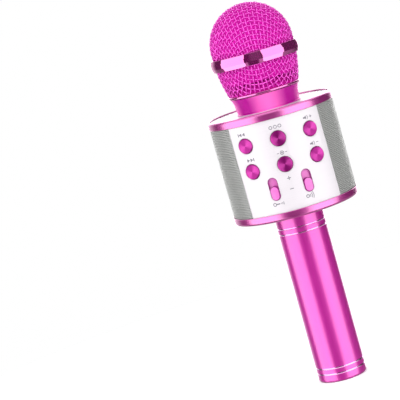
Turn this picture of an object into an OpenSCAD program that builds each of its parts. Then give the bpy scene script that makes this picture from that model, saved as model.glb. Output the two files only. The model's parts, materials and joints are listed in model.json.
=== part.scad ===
// Cordless karaoke microphone with a speaker drum, standing upright on its end cap.
// Units are millimetres. +Z runs up the handle to the head, and the control panel faces -Y.
// The origin is the centre of the end cap's flat face.

/* [Drum] */
// Diameter over the two bright rims
drum_d = 82; // [81:0.5:83]
// Height of the drum from rim edge to rim edge
drum_h = 67.8; // [67:0.2:69]
// Height of each rim
rim_h = 5; // [4.8:0.1:5.4]
// Arc of the control panel and of the rear panel, in degrees
panel_arc = 88; // [86:1:90]
// Height of the drum's lower edge above the end cap's face
drum_base = 112.6; // [112:0.2:114]

/* [Handle] */
// Diameter of the aluminium tube
handle_d = 32; // [31.8:0.1:32.4]
// Wall of the aluminium tube
handle_wall = 1.4; // [1.3:0.1:1.4]
// Depth of the bright cut rings
groove_depth = 0.35; // [0.2:0.05:0.5]

/* [Head] */
// Diameter of the wire mesh at its widest
mesh_d = 53.2; // [53:0.1:53.6]
// Thickness of the woven wire
mesh_t = 0.9; // [0.8:0.1:1]
// Diameter of the bright band between the two mesh halves
band_d = 58.2; // [57:0.2:59]
// Height of the bright band
band_h = 7.6; // [7:0.2:8]
// Height from the drum's upper edge to the top of the dome
head_h = 67; // [66.8:0.2:67.6]

/* [Controls] */
// Diameter of the six push buttons
button_d = 9.4; // [9:0.1:9.6]
// How far a push button goes in
button_travel = 0.6; // [0.3:0.1:0.6]
// Angle between the middle of the panel and the side buttons
button_spread = 31; // [30:0.5:31.5]
// Angle between the middle of the panel and each slider
slider_spread = 15.2; // [15:0.1:15.4]
// Length of the slots that the sliders run in
slot_l = 14.6; // [14.6:0.1:15]
// Width of those slots
slot_w = 6.2; // [6.1:0.1:6.4]
// Length of a slider's knob
knob_l = 8.8; // [8.6:0.1:8.8]

/* [Hidden] */
$fn = 96;

MAGENTA = "#d0219e";
BRIGHT_MAGENTA = "#e23cb4";
SILVER = "#e4e2e6";
GREY = "#a9aaa8";
BLACK = "#1d1c1f";
BOARD_GREEN = "#1f5a3c";

// Heights of the drum's own levels
drum_top = drum_base + drum_h;
drum_mid = drum_base + drum_h / 2;
plate_t = 1.2;
plate_recess = 0.9;
bottom_plate_z = drum_base + plate_recess;
bottom_floor_z = bottom_plate_z + plate_t;
top_plate_z = drum_top - plate_recess - plate_t;
neck_base_z = drum_top - plate_recess;
ledge_t = 1.6;
panel_z0 = drum_base + plate_recess + plate_t + 0.1 + ledge_t + 0.2;
panel_z1 = drum_top - (panel_z0 - drum_base);

// Radii of the drum, from the rim inwards
rim_r = drum_d / 2;
panel_r = rim_r - 0.7;
panel_t = 1.2;
panel_in_r = panel_r - panel_t;
grille_r = rim_r - 1;
grille_t = 0.8;
scrim_r = rim_r - 2.15;
scrim_t = 0.25;
wall_r = rim_r - 2.7;
wall_t = 1.8;
plate_r = rim_r - 2.4;
ledge_r = rim_r - 3.8;
bay_r = rim_r - 7;
bay_arc = 87;

// Controls: rows above the drum's lower edge, and depths below the panel
row_high = drum_base + 50.3;
row_low = drum_base + 33.9;
slot_z = drum_base + 20.5;
button_hole_r = button_d / 2 + 0.3;
button_top_r = rim_r + 0.15;
switch_r0 = bay_r + 0.9;
switch_h = 1.3;
stem_l = switch_h - 0.05;
flange_r0 = switch_r0 + switch_h + button_travel + 0.15;
flange_t = 0.7;
flange_d = button_d + 2.2;
slider_play = 0.3;
slider_rest_z = slot_z - slot_l / 2 + slider_play + knob_l / 2;
slider_travel = slot_l - knob_l - 2 * slider_play;
shutter_r = rim_r - 2.25;
shutter_t = 0.6;

// Speakers: one faces each side
speaker_face = 30;
speaker_r = 20.5;
speaker_hole_r = 19.2;

// Ports along the front of the underside: [x, y] of each
usb_at = [-7, -26.3];
card_at = [7.5, -26.3];
aux_at = [-18.5, -20.5];
lamp_at = [[18.5, -20.5], [21.3, -17.7]];
usb_size = [8.2, 3.3];
card_size = [14, 2.6];
aux_bore_r = 1.8;
aux_depth = 14;
board_z = drum_base + 9.2;
board_t = 1.6;
board_r = 31;
post_at = [for (a = [75, 180, 285]) [25.5 * sin(a), -25.5 * cos(a)]];

// Handle levels
tube_r = handle_d / 2;
tube_in_r = tube_r - handle_wall;
tube_z0 = 0.3;
tube_z1 = drum_base - 2.8;
ring_at = [5.5, 9.3, tube_z1 - 10.6, tube_z1 - 6.9];
ring_w = 1;
cap_r = tube_r - 0.7;
cap_bore_r = tube_r - 0.55;
cap_flange_t = 1.6;
cap_plug_r = tube_in_r - 1;
cell_r = 9.15;
cell_z0 = 20;
cell_l = 65;

// Head levels
mesh_r = mesh_d / 2;
head_top = drum_top + head_h;
dome_z = head_top - mesh_r;
band_z = dome_z - 7.6;
lip_z = drum_top + 9.95;
lip_r = mesh_r - 3.2;
thread_r = 19.5;
thread_h = 6.8;
socket_r = thread_r + 0.3;
skirt_z0 = lip_z + 1.7;

// Points of an arc about a centre, from one angle to another
function arc(c, r, a0, a1, n = 8) =
    [for (i = [0:n]) let (a = a0 + (a1 - a0) * i / n) [c[0] + r * cos(a), c[1] + r * sin(a)]];

// Radius of the skirt's outer face at height z: it closes in towards the lip
function skirt_radius(z) = mesh_r - 3.6 * pow(max(band_z - z, 0) / 21.2, 1.6);

// One line of [radius, height] points down the skirt's face, moved in by d
function skirt_line(z0, z1, d, n = 10) =
    [for (i = [0:n]) let (z = z0 + (z1 - z0) * i / n) [skirt_radius(z) - d, z]];

// A smooth line through hand-placed points, with n steps between each two
function smooth(p, n = 4) = [
    for (i = [0:len(p) - 2], j = [0:n - 1])
        let (
            t = j / n, a = p[max(i - 1, 0)], b = p[i], c = p[i + 1], d = p[min(i + 2, len(p) - 1)]
        )
        0.5 * (2 * b + (c - a) * t + (2 * a - 5 * b + 4 * c - d) * t * t + (3 * b - a - 3 * c + d) * t * t * t),
    p[len(p) - 1]
];

function unit(v) = v / norm(v);

// A round tube of the given radius swept along a line of points
module swept(line, r, sides = 6) {
    last = len(line) - 1;
    heading = [
        for (i = [0:last]) unit(line[min(i + 1, last)] - line[max(i - 1, 0)])
    ];
    rings = [
        for (i = [0:last])
            let (
                h = heading[i],
                u = unit(cross(h, abs(h[1]) < 0.9 ? [0, 1, 0] : [1, 0, 0])),
                v = cross(h, u)
            )
            for (k = [0:sides - 1]) line[i] + r * (cos(360 * k / sides) * u + sin(360 * k / sides) * v)
    ];
    sides_faces = [
        for (i = [0:last - 1], k = [0:sides - 1])
            let (a = i * sides + k, b = i * sides + (k + 1) % sides)
            each [[a, b, b + sides], [a, b + sides, a + sides]]
    ];
    start = [for (k = [1:sides - 2]) [0, k + 1, k]];
    end = [for (k = [1:sides - 2]) [last * sides, last * sides + k, last * sides + k + 1]];
    polyhedron(rings, concat(sides_faces, start, end), convexity = 6);
}

// A curved plate about the Z axis: azimuth 0 is the front, and it grows towards +X
module curved_plate(r0, r1, a0, a1, z0, z1) {
    rotate([0, 0, a0 - 90])
        rotate_extrude(angle = a1 - a0)
            translate([r0, z0])
                square([r1 - r0, z1 - z0]);
}

// Stands its children on the drum's surface: their +Z points out and their +Y points up
module on_drum(azimuth, z, r) {
    rotate([0, 0, azimuth])
        translate([0, -r, z])
            rotate([90, 0, 0])
                children();
}

// A bar with round ends, l long over all along Y
module round_bar(l, w, h) {
    for (s = [-1, 1])
        translate([0, s * (l - w) / 2, 0])
            cylinder(d = w, h = h);
    translate([-w / 2, -(l - w) / 2, 0])
        cube([w, l - w, h]);
}

// Turns children so that their +Z faces out of the drum's side, at the drum's middle
module facing_side(side) {
    translate([0, 0, drum_mid])
        rotate([0, side * 90, 0])
            children();
}

module tube(r0, r1, z0, z1) {
    translate([0, 0, z0])
        difference() {
            cylinder(r = r1, h = z1 - z0);
            translate([0, 0, -1])
                cylinder(r = r0, h = z1 - z0 + 2);
        }
}

// ---- Head ----

module grille_dome() {
    color(MAGENTA)
        difference() {
            union() {
                translate([0, 0, dome_z]) sphere(r = mesh_r);
                translate([0, 0, band_z + 0.5]) cylinder(r = mesh_r, h = dome_z - band_z - 0.5);
            }
            translate([0, 0, dome_z]) sphere(r = mesh_r - mesh_t);
            translate([0, 0, band_z - 40]) cylinder(r = mesh_r - mesh_t, h = dome_z - band_z + 40);
            translate([0, 0, band_z - 59.5]) cylinder(r = mesh_r + 5, h = 60);
        }
}

module grille_skirt() {
    color(MAGENTA)
        rotate_extrude()
            polygon(concat(
                skirt_line(skirt_z0, band_z - 0.9, 0),
                skirt_line(band_z - 0.9, skirt_z0, mesh_t)
            ));
}

module grille_band() {
    r = band_d / 2;
    seat = mesh_r + 0.15;
    edge = 0.9;
    z0 = band_z - band_h / 2;
    z1 = band_z + band_h / 2;
    color(BRIGHT_MAGENTA)
        rotate_extrude()
            polygon([
                [seat, z0], [r - edge, z0], [r, z0 + edge], [r, z1 - edge], [r - edge, z1],
                [seat, z1], [seat, band_z + 0.4], [mesh_r - mesh_t, band_z + 0.4],
                [mesh_r - mesh_t, band_z - 0.8], [seat, band_z - 0.8]
            ]);
}

module grille_lip() {
    color(BRIGHT_MAGENTA)
        rotate_extrude()
            polygon(concat(
                [[socket_r, lip_z]],
                arc([lip_r - 0.4, lip_z + 0.8], 0.8, -90, 90),
                [[lip_r - 1.3, lip_z + 1.6], [lip_r - 1.5, lip_z + 7.8], [socket_r, lip_z + 7.8]]
            ));
}

module windscreen_foam() {
    gap = mesh_t + 0.35;
    foam_t = 4.5;
    z0 = lip_z + 8.2;
    color("#7d1560")
        rotate_extrude()
            polygon(concat(
                skirt_line(z0, band_z, gap),
                arc([0, dome_z], mesh_r - gap, 0, 90, 16),
                arc([0, dome_z], mesh_r - gap - foam_t, 90, 0, 16),
                skirt_line(band_z, z0, gap + foam_t)
            ));
}

// ---- Neck and capsule ----

module neck_collar() {
    flare_z0 = neck_base_z + 0.9;
    flare_z1 = lip_z - 0.35;
    flare = [
        for (i = [0:10])
            let (t = i / 10) [thread_r + 0.8 + 2.3 * t * t, flare_z0 + (flare_z1 - flare_z0) * t]
    ];
    color(BRIGHT_MAGENTA)
        rotate_extrude()
            polygon(concat(
                [
                    [16.2, neck_base_z - 6], [17, neck_base_z - 6], [17, neck_base_z],
                    [20.9, neck_base_z], [20.9, neck_base_z + 0.5], [20.5, neck_base_z + 0.9]
                ],
                flare,
                [[16.2, flare_z1]]
            ));
}

module neck_thread() {
    z0 = lip_z - 0.35;
    color("silver")
        rotate_extrude()
            polygon([
                [14.8, z0 - 9], [16.1, z0 - 9], [16.1, z0], [thread_r, z0],
                [thread_r, z0 + thread_h - 0.5], [thread_r - 0.5, z0 + thread_h], [14.8, z0 + thread_h]
            ]);
}

module hex_nut(across, bore_r, z0, h) {
    color("silver")
        difference() {
            translate([0, 0, z0]) cylinder(d = across / cos(30), h = h, $fn = 6);
            translate([0, 0, z0 - 1]) cylinder(r = bore_r, h = h + 2);
        }
}

module neck_nut() {
    hex_nut(42, 17.15, top_plate_z - 4, 4);
}

module capsule_holder() {
    z = lip_z;
    color(BLACK)
        rotate_extrude()
            polygon([
                [3, z], [13.2, z], [13.2, z - 7], [14.6, z - 7], [14.6, z + 1.8], [6.5, z + 1.8],
                [6.5, z + 9.6], [12.4, z + 9.6], [12.4, z + 15.8], [11.3, z + 15.8],
                [11.3, z + 11], [3, z + 11]
            ]);
}

module capsule_boot() {
    z = lip_z + 11.05;
    color("#2b2b2e")
        rotate_extrude()
            polygon([
                [3, z], [11.15, z], [11.15, z + 6.6], [10.4, z + 7.4], [8.25, z + 7.4],
                [8.25, z + 1.4], [3, z + 1.4]
            ]);
}

module capsule() {
    z = lip_z + 12.5;
    color("silver")
        difference() {
            translate([0, 0, z]) cylinder(r = 8.1, h = 8);
            translate([0, 0, z + 7.2]) cylinder(r = 6.6, h = 2);
        }
}

// ---- Drum ----

// The rim's section for the drum's upper edge, with heights measured down from that edge
module rim_section() {
    fall = rim_h;
    seat = plate_recess + plate_t + 0.1;
    polygon(concat(
        [
            [ledge_r, -seat - ledge_t], [panel_r + 0.12, -seat - ledge_t],
            [panel_r + 0.12, -fall], [rim_r, -fall]
        ],
        arc([rim_r - 2, -2], 2, 0, 90),
        [[plate_r + 0.15, 0], [plate_r + 0.15, -seat], [ledge_r, -seat]]
    ));
}

module top_rim() {
    color(BRIGHT_MAGENTA)
        translate([0, 0, drum_top])
            rotate_extrude() rim_section();
}

module bottom_rim() {
    color(BRIGHT_MAGENTA)
        translate([0, 0, drum_base])
            mirror([0, 0, 1])
                rotate_extrude() rim_section();
}

module top_plate() {
    color(SILVER) tube(17.2, plate_r, top_plate_z, neck_base_z);
}

// A rectangular opening through the bottom plate, a little wider than its socket
module port_cut(at, size) {
    play = 0.3;
    translate([at[0] - size[0] / 2 - play / 2, at[1] - size[1] / 2 - play / 2, bottom_plate_z - 1])
        cube([size[0] + play, size[1] + play, plate_t + 2]);
}

module bottom_plate() {
    color(SILVER)
        difference() {
            union() {
                translate([0, 0, bottom_plate_z]) cylinder(r = plate_r, h = plate_t);
                for (p = post_at)
                    translate([p[0], p[1], bottom_plate_z]) cylinder(r = 2.4, h = board_z - bottom_plate_z);
            }
            translate([0, 0, bottom_plate_z - 1]) cylinder(r = 13.4, h = plate_t + 2);
            for (p = post_at)
                translate([p[0], p[1], bottom_floor_z + 0.6]) cylinder(r = 1.05, h = 10);
            port_cut(usb_at, usb_size);
            port_cut(card_at, card_size);
            translate([aux_at[0], aux_at[1], bottom_plate_z - 1]) cylinder(r = 3.15, h = plate_t + 2);
            for (p = lamp_at)
                translate([p[0], p[1], bottom_plate_z - 1]) cylinder(r = 1.05, h = plate_t + 2);
        }
}

module front_panel() {
    color(SILVER)
        difference() {
            curved_plate(panel_in_r, panel_r, -panel_arc / 2, panel_arc / 2, panel_z0, panel_z1);
            for (a = [-1, 0, 1], z = [row_high, row_low])
                on_drum(a * button_spread, z, panel_in_r - 5) cylinder(r = button_hole_r, h = 10);
            for (s = [-1, 1])
                on_drum(s * slider_spread, slot_z, panel_in_r - 5) round_bar(slot_l, slot_w, 10);
        }
}

module rear_panel() {
    color(SILVER)
        curved_plate(panel_in_r, panel_r, 180 - panel_arc / 2, 180 + panel_arc / 2, panel_z0, panel_z1);
}

module side_sheet(side, r, t, inset) {
    a = panel_arc / 2 + inset;
    mid = side > 0 ? 0 : 180;
    curved_plate(r - t, r, mid + a, mid + 180 - a, panel_z0 + inset - 0.4, panel_z1 - inset + 0.4);
}

module left_grille() {
    color(GREY) side_sheet(-1, grille_r, grille_t, 0.4);
}

module right_grille() {
    color(GREY) side_sheet(1, grille_r, grille_t, 0.4);
}

module left_scrim() {
    color(BLACK) side_sheet(-1, scrim_r, scrim_t, 1.5);
}

module right_scrim() {
    color(BLACK) side_sheet(1, scrim_r, scrim_t, 1.5);
}

// The whole inner cabinet: a drum wall with a bay behind the control panel
module cabinet() {
    z0 = panel_z0 - 0.1;
    z1 = panel_z1 + 0.1;
    half_bay = bay_arc / 2;
    side_wall = 2.7;
    inside_wall = wall_r - wall_t / 2;
    difference() {
        tube(wall_r - wall_t, wall_r, z0, z1);
        curved_plate(bay_r, wall_r + 5, -half_bay - side_wall / 2, half_bay + side_wall / 2, z0 - 1, z1 + 1);
        speaker_windows();
    }
    difference() {
        curved_plate(bay_r - wall_t, inside_wall, -half_bay - side_wall, half_bay + side_wall,
            z0 + 0.2, z1 - 0.2);
        curved_plate(bay_r, wall_r + 5, -half_bay, half_bay, z0 - 1, z1 + 1);
    }
    difference() {
        intersection() {
            translate([0, 0, z0]) cylinder(r = inside_wall, h = z1 - z0);
            union() {
                for (s = [-1, 1])
                    facing_side(s) translate([0, 0, speaker_face]) cylinder(r = 21.5, h = 10);
                for (s = [-1, 1], z = [z0 + 2.2, z1 - 7])
                    translate([s > 0 ? 30.6 : -40.6, -8, z]) cube([10, 16, 5]);
            }
        }
        speaker_windows();
        for (s = [-1, 1], z = [z0 + 4.7, z1 - 4.5])
            translate([s * 32.8, 9, z]) rotate([90, 0, 0]) cylinder(r = 1.3, h = 15);
    }
}

module speaker_windows() {
    for (s = [-1, 1])
        facing_side(s) cylinder(r = speaker_hole_r + 0.05, h = 60);
}

module cabinet_front() {
    color("#3b3a3f")
        intersection() {
            cabinet();
            translate([-60, -60.05, 0]) cube([120, 60, 300]);
        }
}

module cabinet_rear() {
    color("#3b3a3f")
        intersection() {
            cabinet();
            translate([-60, 0.05, 0]) cube([120, 60, 300]);
        }
}

module cabinet_screws() {
    z0 = panel_z0 - 0.1;
    z1 = panel_z1 + 0.1;
    color("silver")
        for (s = [-1, 1], z = [z0 + 4.7, z1 - 4.5])
            translate([s * 32.8, 9.5, z])
                rotate([90, 0, 0]) {
                    cylinder(r = 1.2, h = 15);
                    cylinder(r = 2.1, h = 1.5);
                }
}

// ---- Speakers: sections are [radius, distance out from the drum's axis] ----

module speaker_frame(side) {
    f = speaker_face;
    color("#4a4a4e")
        facing_side(side)
            difference() {
                rotate_extrude()
                    polygon([
                        [speaker_hole_r, f], [speaker_r, f], [speaker_r, f - 2.2], [12.8, f - 8.4],
                        [12.8, f - 8.6], [6.2, f - 8.6], [6.2, f - 7.4], [11.6, f - 7.4],
                        [speaker_hole_r, f - 1.6]
                    ]);
                for (a = [45:90:315])
                    rotate([0, 0, a]) translate([12.8, -4, f - 7.6]) cube([4.6, 8, 5.4]);
            }
}

module speaker_magnet(side) {
    f = speaker_face - 8.6;
    color("#2a2a2c")
        facing_side(side)
            rotate_extrude()
                polygon([
                    [0, f - 8], [12.4, f - 8], [12.4, f], [5.8, f], [5.8, f - 5.5], [4.2, f - 5.5],
                    [4.2, f + 0.4], [0, f + 0.4]
                ]);
}

module speaker_cone(side) {
    f = speaker_face;
    color("#34343a")
        facing_side(side)
            rotate_extrude()
                polygon(concat(
                    [[15.9, f - 0.4], [15.4, f - 0.1], [5.3, f - 5.2]],
                    arc([0, f - 9.4], 6.76, 52, 90),
                    arc([0, f - 9.4], 6.26, 90, 50),
                    [[4.7, f - 5.4], [4.7, f - 11], [5.3, f - 11], [5.3, f - 5.9]]
                ));
}

module speaker_surround(side) {
    f = speaker_face - 0.5;
    color(BLACK)
        facing_side(side)
            rotate_extrude()
                polygon(concat(
                    arc([17.6, f], 1.55, 0, 180),
                    arc([17.6, f], 1.15, 180, 0)
                ));
}

// ---- Boards, switches and sockets ----

module control_board() {
    color(BOARD_GREEN)
        curved_plate(bay_r + 0.15, bay_r + 0.7, -38, 38, slot_z - 11.6, row_high + 7);
}

module key_switches() {
    color("silver")
        for (a = [-1, 0, 1], z = [row_high, row_low])
            on_drum(a * button_spread, z, switch_r0)
                difference() {
                    translate([-3, -3, 0]) cube([6, 6, switch_h]);
                    translate([0, 0, 0.1]) cylinder(r = 1.3, h = 4, $fn = 32);
                }
}

module slide_pots() {
    color("#55565a")
        for (s = [-1, 1])
            on_drum(s * slider_spread, slot_z, bay_r + 0.95)
                difference() {
                    translate([-3.4, -9, 0]) cube([6.8, 18, 2.2]);
                    translate([-0.95, -4.9, 1]) cube([1.9, 9.8, 2]);
                }
}

module main_board() {
    chips = [[-8, 20, 9, 9], [8, 20, 6, 8], [-20, 10, 6, 5], [20, 4, 5, 9], [-20, -2, 5, 5]];
    color(BOARD_GREEN)
        difference() {
            union() {
                translate([0, 0, board_z]) cylinder(r = board_r, h = board_t);
                for (c = chips)
                    translate([c[0] - c[2] / 2, c[1] - c[3] / 2, board_z]) cube([c[2], c[3], board_t + 1.4]);
            }
            translate([0, 0, board_z - 1]) cylinder(r = 11, h = board_t + 2);
            translate([aux_at[0], aux_at[1], board_z - 1]) cylinder(r = 3.2, h = board_t + 2);
            for (p = post_at)
                translate([p[0], p[1], board_z - 1]) cylinder(r = 1.3, h = board_t + 2);
        }
}

module board_screws() {
    color("silver")
        for (p = post_at)
            translate([p[0], p[1], board_z + board_t]) {
                translate([0, 0, -6]) cylinder(r = 1, h = 6);
                cylinder(r = 1.9, h = 1.2);
            }
}

// A stamped metal socket that opens downwards, with a tongue inside
module port_socket(at, size, mouth, depth, tongue) {
    top = board_z;
    z0 = bottom_plate_z + 0.1;
    difference() {
        translate([at[0] - size[0] / 2, at[1] - size[1] / 2, z0]) cube([size[0], size[1], top - z0]);
        translate([at[0] - mouth[0] / 2, at[1] - mouth[1] / 2, z0 - 1]) cube([mouth[0], mouth[1], depth + 1]);
    }
    translate([at[0] - tongue[0] / 2, at[1] - tongue[1] / 2, z0 + 1]) cube([tongue[0], tongue[1], depth]);
}

module usb_socket() {
    color("silver") port_socket(usb_at, usb_size, [7.4, 2.6], 5.5, [5, 0.7]);
}

module card_socket() {
    color("#3a3a3e") port_socket(card_at, card_size, [12, 1.5], 7, [11, 0.3]);
}

module aux_jack() {
    color(BLACK)
        translate([aux_at[0], aux_at[1], bottom_plate_z])
            difference() {
                union() {
                    cylinder(r = 3, h = aux_depth + 1);
                    translate([0, 0, plate_t + 0.1])
                        cylinder(r = 3.4, h = board_z - bottom_floor_z - 0.2);
                }
                translate([0, 0, -1]) cylinder(r = aux_bore_r, h = aux_depth + 1);
            }
}

module light_pipes() {
    color("#d9ecff")
        for (p = lamp_at)
            translate([p[0], p[1], bottom_plate_z - 0.1])
                cylinder(r = 0.9, h = board_z - bottom_plate_z + 0.1, $fn = 32);
}

// Wires from the cell, the capsule and both speakers to the main board
module inner_wiring() {
    up = board_z + board_t;
    color("#b3202a") {
        swept(smooth([[2, 0, 90.5], [3, 1, 98], [6, 2, 108], [7, 3, 116], [7.4, 5, up + 1],
            [8.2, 8, up + 2.8], [9, 12.5, up + 0.9]]), 0.55);
        swept(smooth([[-2, 0, 90.5], [-3, 1, 98], [-6, 2, 108], [-7, 3, 116], [-2, 9.5, up + 2],
            [1, 13, up + 0.6]]), 0.55);
        swept(smooth([[0, 0, lip_z + 12], [0, 0, lip_z + 2], [0, 2, lip_z - 10], [0, 14, lip_z - 22],
            [0, 26, drum_mid + 8], [2, 28, up + 8], [4, 28, up + 0.7]]), 0.8);
        for (s = [-1, 1], y = [-2, 2])
            swept(smooth([[s * (speaker_face - 17.2), y, drum_mid], [s * 11, y + 4, drum_mid - 6],
                [s * 10, y + 13, drum_mid - 14], [s * (14 + y / 2), y + 14, up + 0.6]]), 0.5);
    }
}

// ---- Push buttons and sliders ----

module push_button(azimuth, z) {
    edge = 0.5;
    r = button_d / 2;
    top = button_top_r - flange_r0;
    color(BRIGHT_MAGENTA)
        on_drum(azimuth, z, flange_r0)
            rotate_extrude($fn = 64)
                polygon([
                    [0, -stem_l], [0.9, -stem_l], [0.9, 0], [flange_d / 2, 0], [flange_d / 2, flange_t],
                    [r, flange_t], [r, top - edge], [r - edge, top], [0, top]
                ]);
}

module button_previous() { push_button(-button_spread, row_high); }
module button_next() { push_button(-button_spread, row_low); }
module button_scan() { push_button(0, row_high); }
module button_record() { push_button(0, row_low); }
module button_volume_up() { push_button(button_spread, row_high); }
module button_volume_down() { push_button(button_spread, row_low); }

// A slider: knob, dust shutter behind the slot, and a tongue down into its potentiometer
module slider(azimuth) {
    half_l = 10.6;
    half_a = 6.4;
    knob_w = slot_w - 0.6;
    color("#ee6ecb")
        union() {
            curved_plate(shutter_r - shutter_t, shutter_r, azimuth - half_a, azimuth + half_a,
                slider_rest_z - half_l, slider_rest_z + half_l);
            on_drum(azimuth, slider_rest_z, shutter_r - 0.4)
                round_bar(knob_l, knob_w, button_top_r - shutter_r + 0.4);
            on_drum(azimuth, slider_rest_z, bay_r + 2.3)
                translate([-0.6, -1.5, 0]) cube([1.2, 3, 2.2]);
        }
}

module slider_mic_volume() { slider(-slider_spread); }
module slider_echo() { slider(slider_spread); }

// ---- Handle ----

module handle_collar() {
    top = bottom_plate_z;
    fillet = [for (t = [0:10:90]) [17.2 + 4.3 * (1 - sin(t)), top - 0.6 - 2.4 * (1 - cos(t))]];
    color(MAGENTA)
        rotate_extrude()
            polygon(concat(
                [[10.5, top + 5], [13.2, top + 5], [13.2, top], [21.5, top]],
                fillet,
                [
                    [17, tube_z1 + 0.05], [tube_in_r - 0.1, tube_z1 + 0.05],
                    [tube_in_r - 0.1, tube_z1 - 11.8], [10.5, tube_z1 - 11.8]
                ]
            ));
}

module handle_nut() {
    hex_nut(32, 13.35, bottom_floor_z, 3.8);
}

module handle_tube() {
    corner = 1.2;
    rings = [
        for (z = ring_at)
            each [[tube_r, z - ring_w / 2], [tube_r - groove_depth, z], [tube_r, z + ring_w / 2]]
    ];
    color(MAGENTA)
        rotate_extrude()
            polygon(concat(
                [[cap_bore_r, tube_z0]],
                arc([tube_r - corner, tube_z0 + corner], corner, -55, 0, 6),
                rings,
                [
                    [tube_r, tube_z1 - 0.4], [tube_r - 0.4, tube_z1], [tube_in_r, tube_z1],
                    [tube_in_r, cap_flange_t + 0.2], [cap_bore_r, cap_flange_t + 0.2]
                ]
            ));
}

module handle_insert() {
    color("silver") tube(cap_plug_r + 0.3, tube_in_r - 0.05, 3.5, 10.5);
}

module battery_sleeve() {
    z0 = 12.5;
    z1 = 95;
    color(BLACK)
        rotate_extrude()
            polygon([
                [9.4, z0], [tube_in_r - 0.2, z0], [tube_in_r - 0.2, z0 + 2.5], [10.6, z0 + 2.5],
                [10.6, z1 - 2.5], [tube_in_r - 0.2, z1 - 2.5], [tube_in_r - 0.2, z1], [9, z1],
                [9, 90], [5, 90], [5, 88], [9.4, 88]
            ]);
}

module battery_cell() {
    color("#2f6fb5")
        translate([0, 0, cell_z0]) {
            cylinder(r = cell_r, h = cell_l);
            cylinder(r = 3, h = cell_l + 1);
        }
}

module battery_contact() {
    color("silver") translate([0, 0, cell_z0 + cell_l + 1.05]) cylinder(r = 8.4, h = 0.5);
}

module battery_spring() {
    turns = 7;
    per_turn = 12;
    z0 = cap_flange_t + 1.5;
    rise = cell_z0 - 0.6 - z0;
    line = [
        for (i = [0:turns * per_turn])
            let (t = i / (turns * per_turn), a = 360 * turns * t, r = 7 - 2.5 * t)
            [r * cos(a), r * sin(a), z0 + rise * t]
    ];
    color("silver") swept(line, 0.45);
}

module end_cap_seal() {
    color("#3a3a3d")
        translate([0, 0, cap_flange_t + 0.85])
            rotate_extrude() translate([cap_plug_r - 0.05, 0]) circle(r = 0.55, $fn = 32);
}

module end_cap() {
    f = cap_flange_t;
    color(BLACK)
        rotate_extrude()
            polygon(concat(
                [[0, 0]],
                arc([cap_r - 0.5, 0.5], 0.5, -90, 0, 4),
                [
                    [cap_r, f], [cap_plug_r - 0.8, f], [cap_plug_r - 0.8, f + 1.6], [cap_plug_r, f + 1.6],
                    [cap_plug_r, f + 7.5], [cap_plug_r - 0.5, f + 8], [cap_plug_r - 1.8, f + 8],
                    [cap_plug_r - 1.8, f + 1], [0, f + 1]
                ]
            ));
}

grille_dome();
grille_skirt();
grille_band();
grille_lip();
windscreen_foam();
neck_collar();
neck_thread();
neck_nut();
capsule_holder();
capsule_boot();
capsule();
top_rim();
top_plate();
bottom_rim();
bottom_plate();
front_panel();
rear_panel();
left_grille();
right_grille();
left_scrim();
right_scrim();
cabinet_front();
cabinet_rear();
cabinet_screws();
speaker_frame(-1);  // left_speaker_frame
speaker_magnet(-1);  // left_speaker_magnet
speaker_cone(-1);  // left_speaker_cone
speaker_surround(-1);  // left_speaker_surround
speaker_frame(1);  // right_speaker_frame
speaker_magnet(1);  // right_speaker_magnet
speaker_cone(1);  // right_speaker_cone
speaker_surround(1);  // right_speaker_surround
control_board();
key_switches();
slide_pots();
main_board();
board_screws();
usb_socket();
card_socket();
aux_jack();
light_pipes();
inner_wiring();
button_previous();
button_next();
button_scan();
button_record();
button_volume_up();
button_volume_down();
slider_mic_volume();
slider_echo();
handle_collar();
handle_nut();
handle_tube();
handle_insert();
battery_sleeve();
battery_cell();
battery_contact();
battery_spring();
end_cap_seal();
end_cap();
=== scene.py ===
"""Cordless karaoke microphone: the visible pieces, materials and stage around its fixed frame."""

import math

import bmesh
import bpy
from mathutils import Matrix, Vector
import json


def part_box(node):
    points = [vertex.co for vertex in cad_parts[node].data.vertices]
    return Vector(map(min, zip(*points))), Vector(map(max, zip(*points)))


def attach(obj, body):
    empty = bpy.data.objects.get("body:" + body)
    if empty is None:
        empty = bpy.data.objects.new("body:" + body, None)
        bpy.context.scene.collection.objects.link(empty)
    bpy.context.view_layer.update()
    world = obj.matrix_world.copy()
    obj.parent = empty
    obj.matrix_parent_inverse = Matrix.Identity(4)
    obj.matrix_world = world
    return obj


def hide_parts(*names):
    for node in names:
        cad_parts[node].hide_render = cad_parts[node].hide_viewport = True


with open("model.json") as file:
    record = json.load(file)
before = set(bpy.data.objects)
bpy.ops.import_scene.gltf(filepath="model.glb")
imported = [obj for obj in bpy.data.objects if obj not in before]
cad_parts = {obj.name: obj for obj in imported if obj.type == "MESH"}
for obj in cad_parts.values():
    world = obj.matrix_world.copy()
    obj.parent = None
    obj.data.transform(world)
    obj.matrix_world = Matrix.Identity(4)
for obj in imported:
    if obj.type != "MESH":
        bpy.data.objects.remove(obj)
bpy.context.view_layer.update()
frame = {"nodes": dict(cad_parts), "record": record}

bl_info = {
    "name": "Karaoke Microphone",
    "version": (1, 0, 0),
    "blender": (4, 5, 0),
    "location": "View3D > Sidebar > Microphone",
    "description": "Builds a cordless karaoke microphone piece by piece",
    "category": "Add Mesh",
}

MM = 0.001
BODY = "microphone_body"


def low(node):
    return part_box(node)[0]


def high(node):
    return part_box(node)[1]


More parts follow.
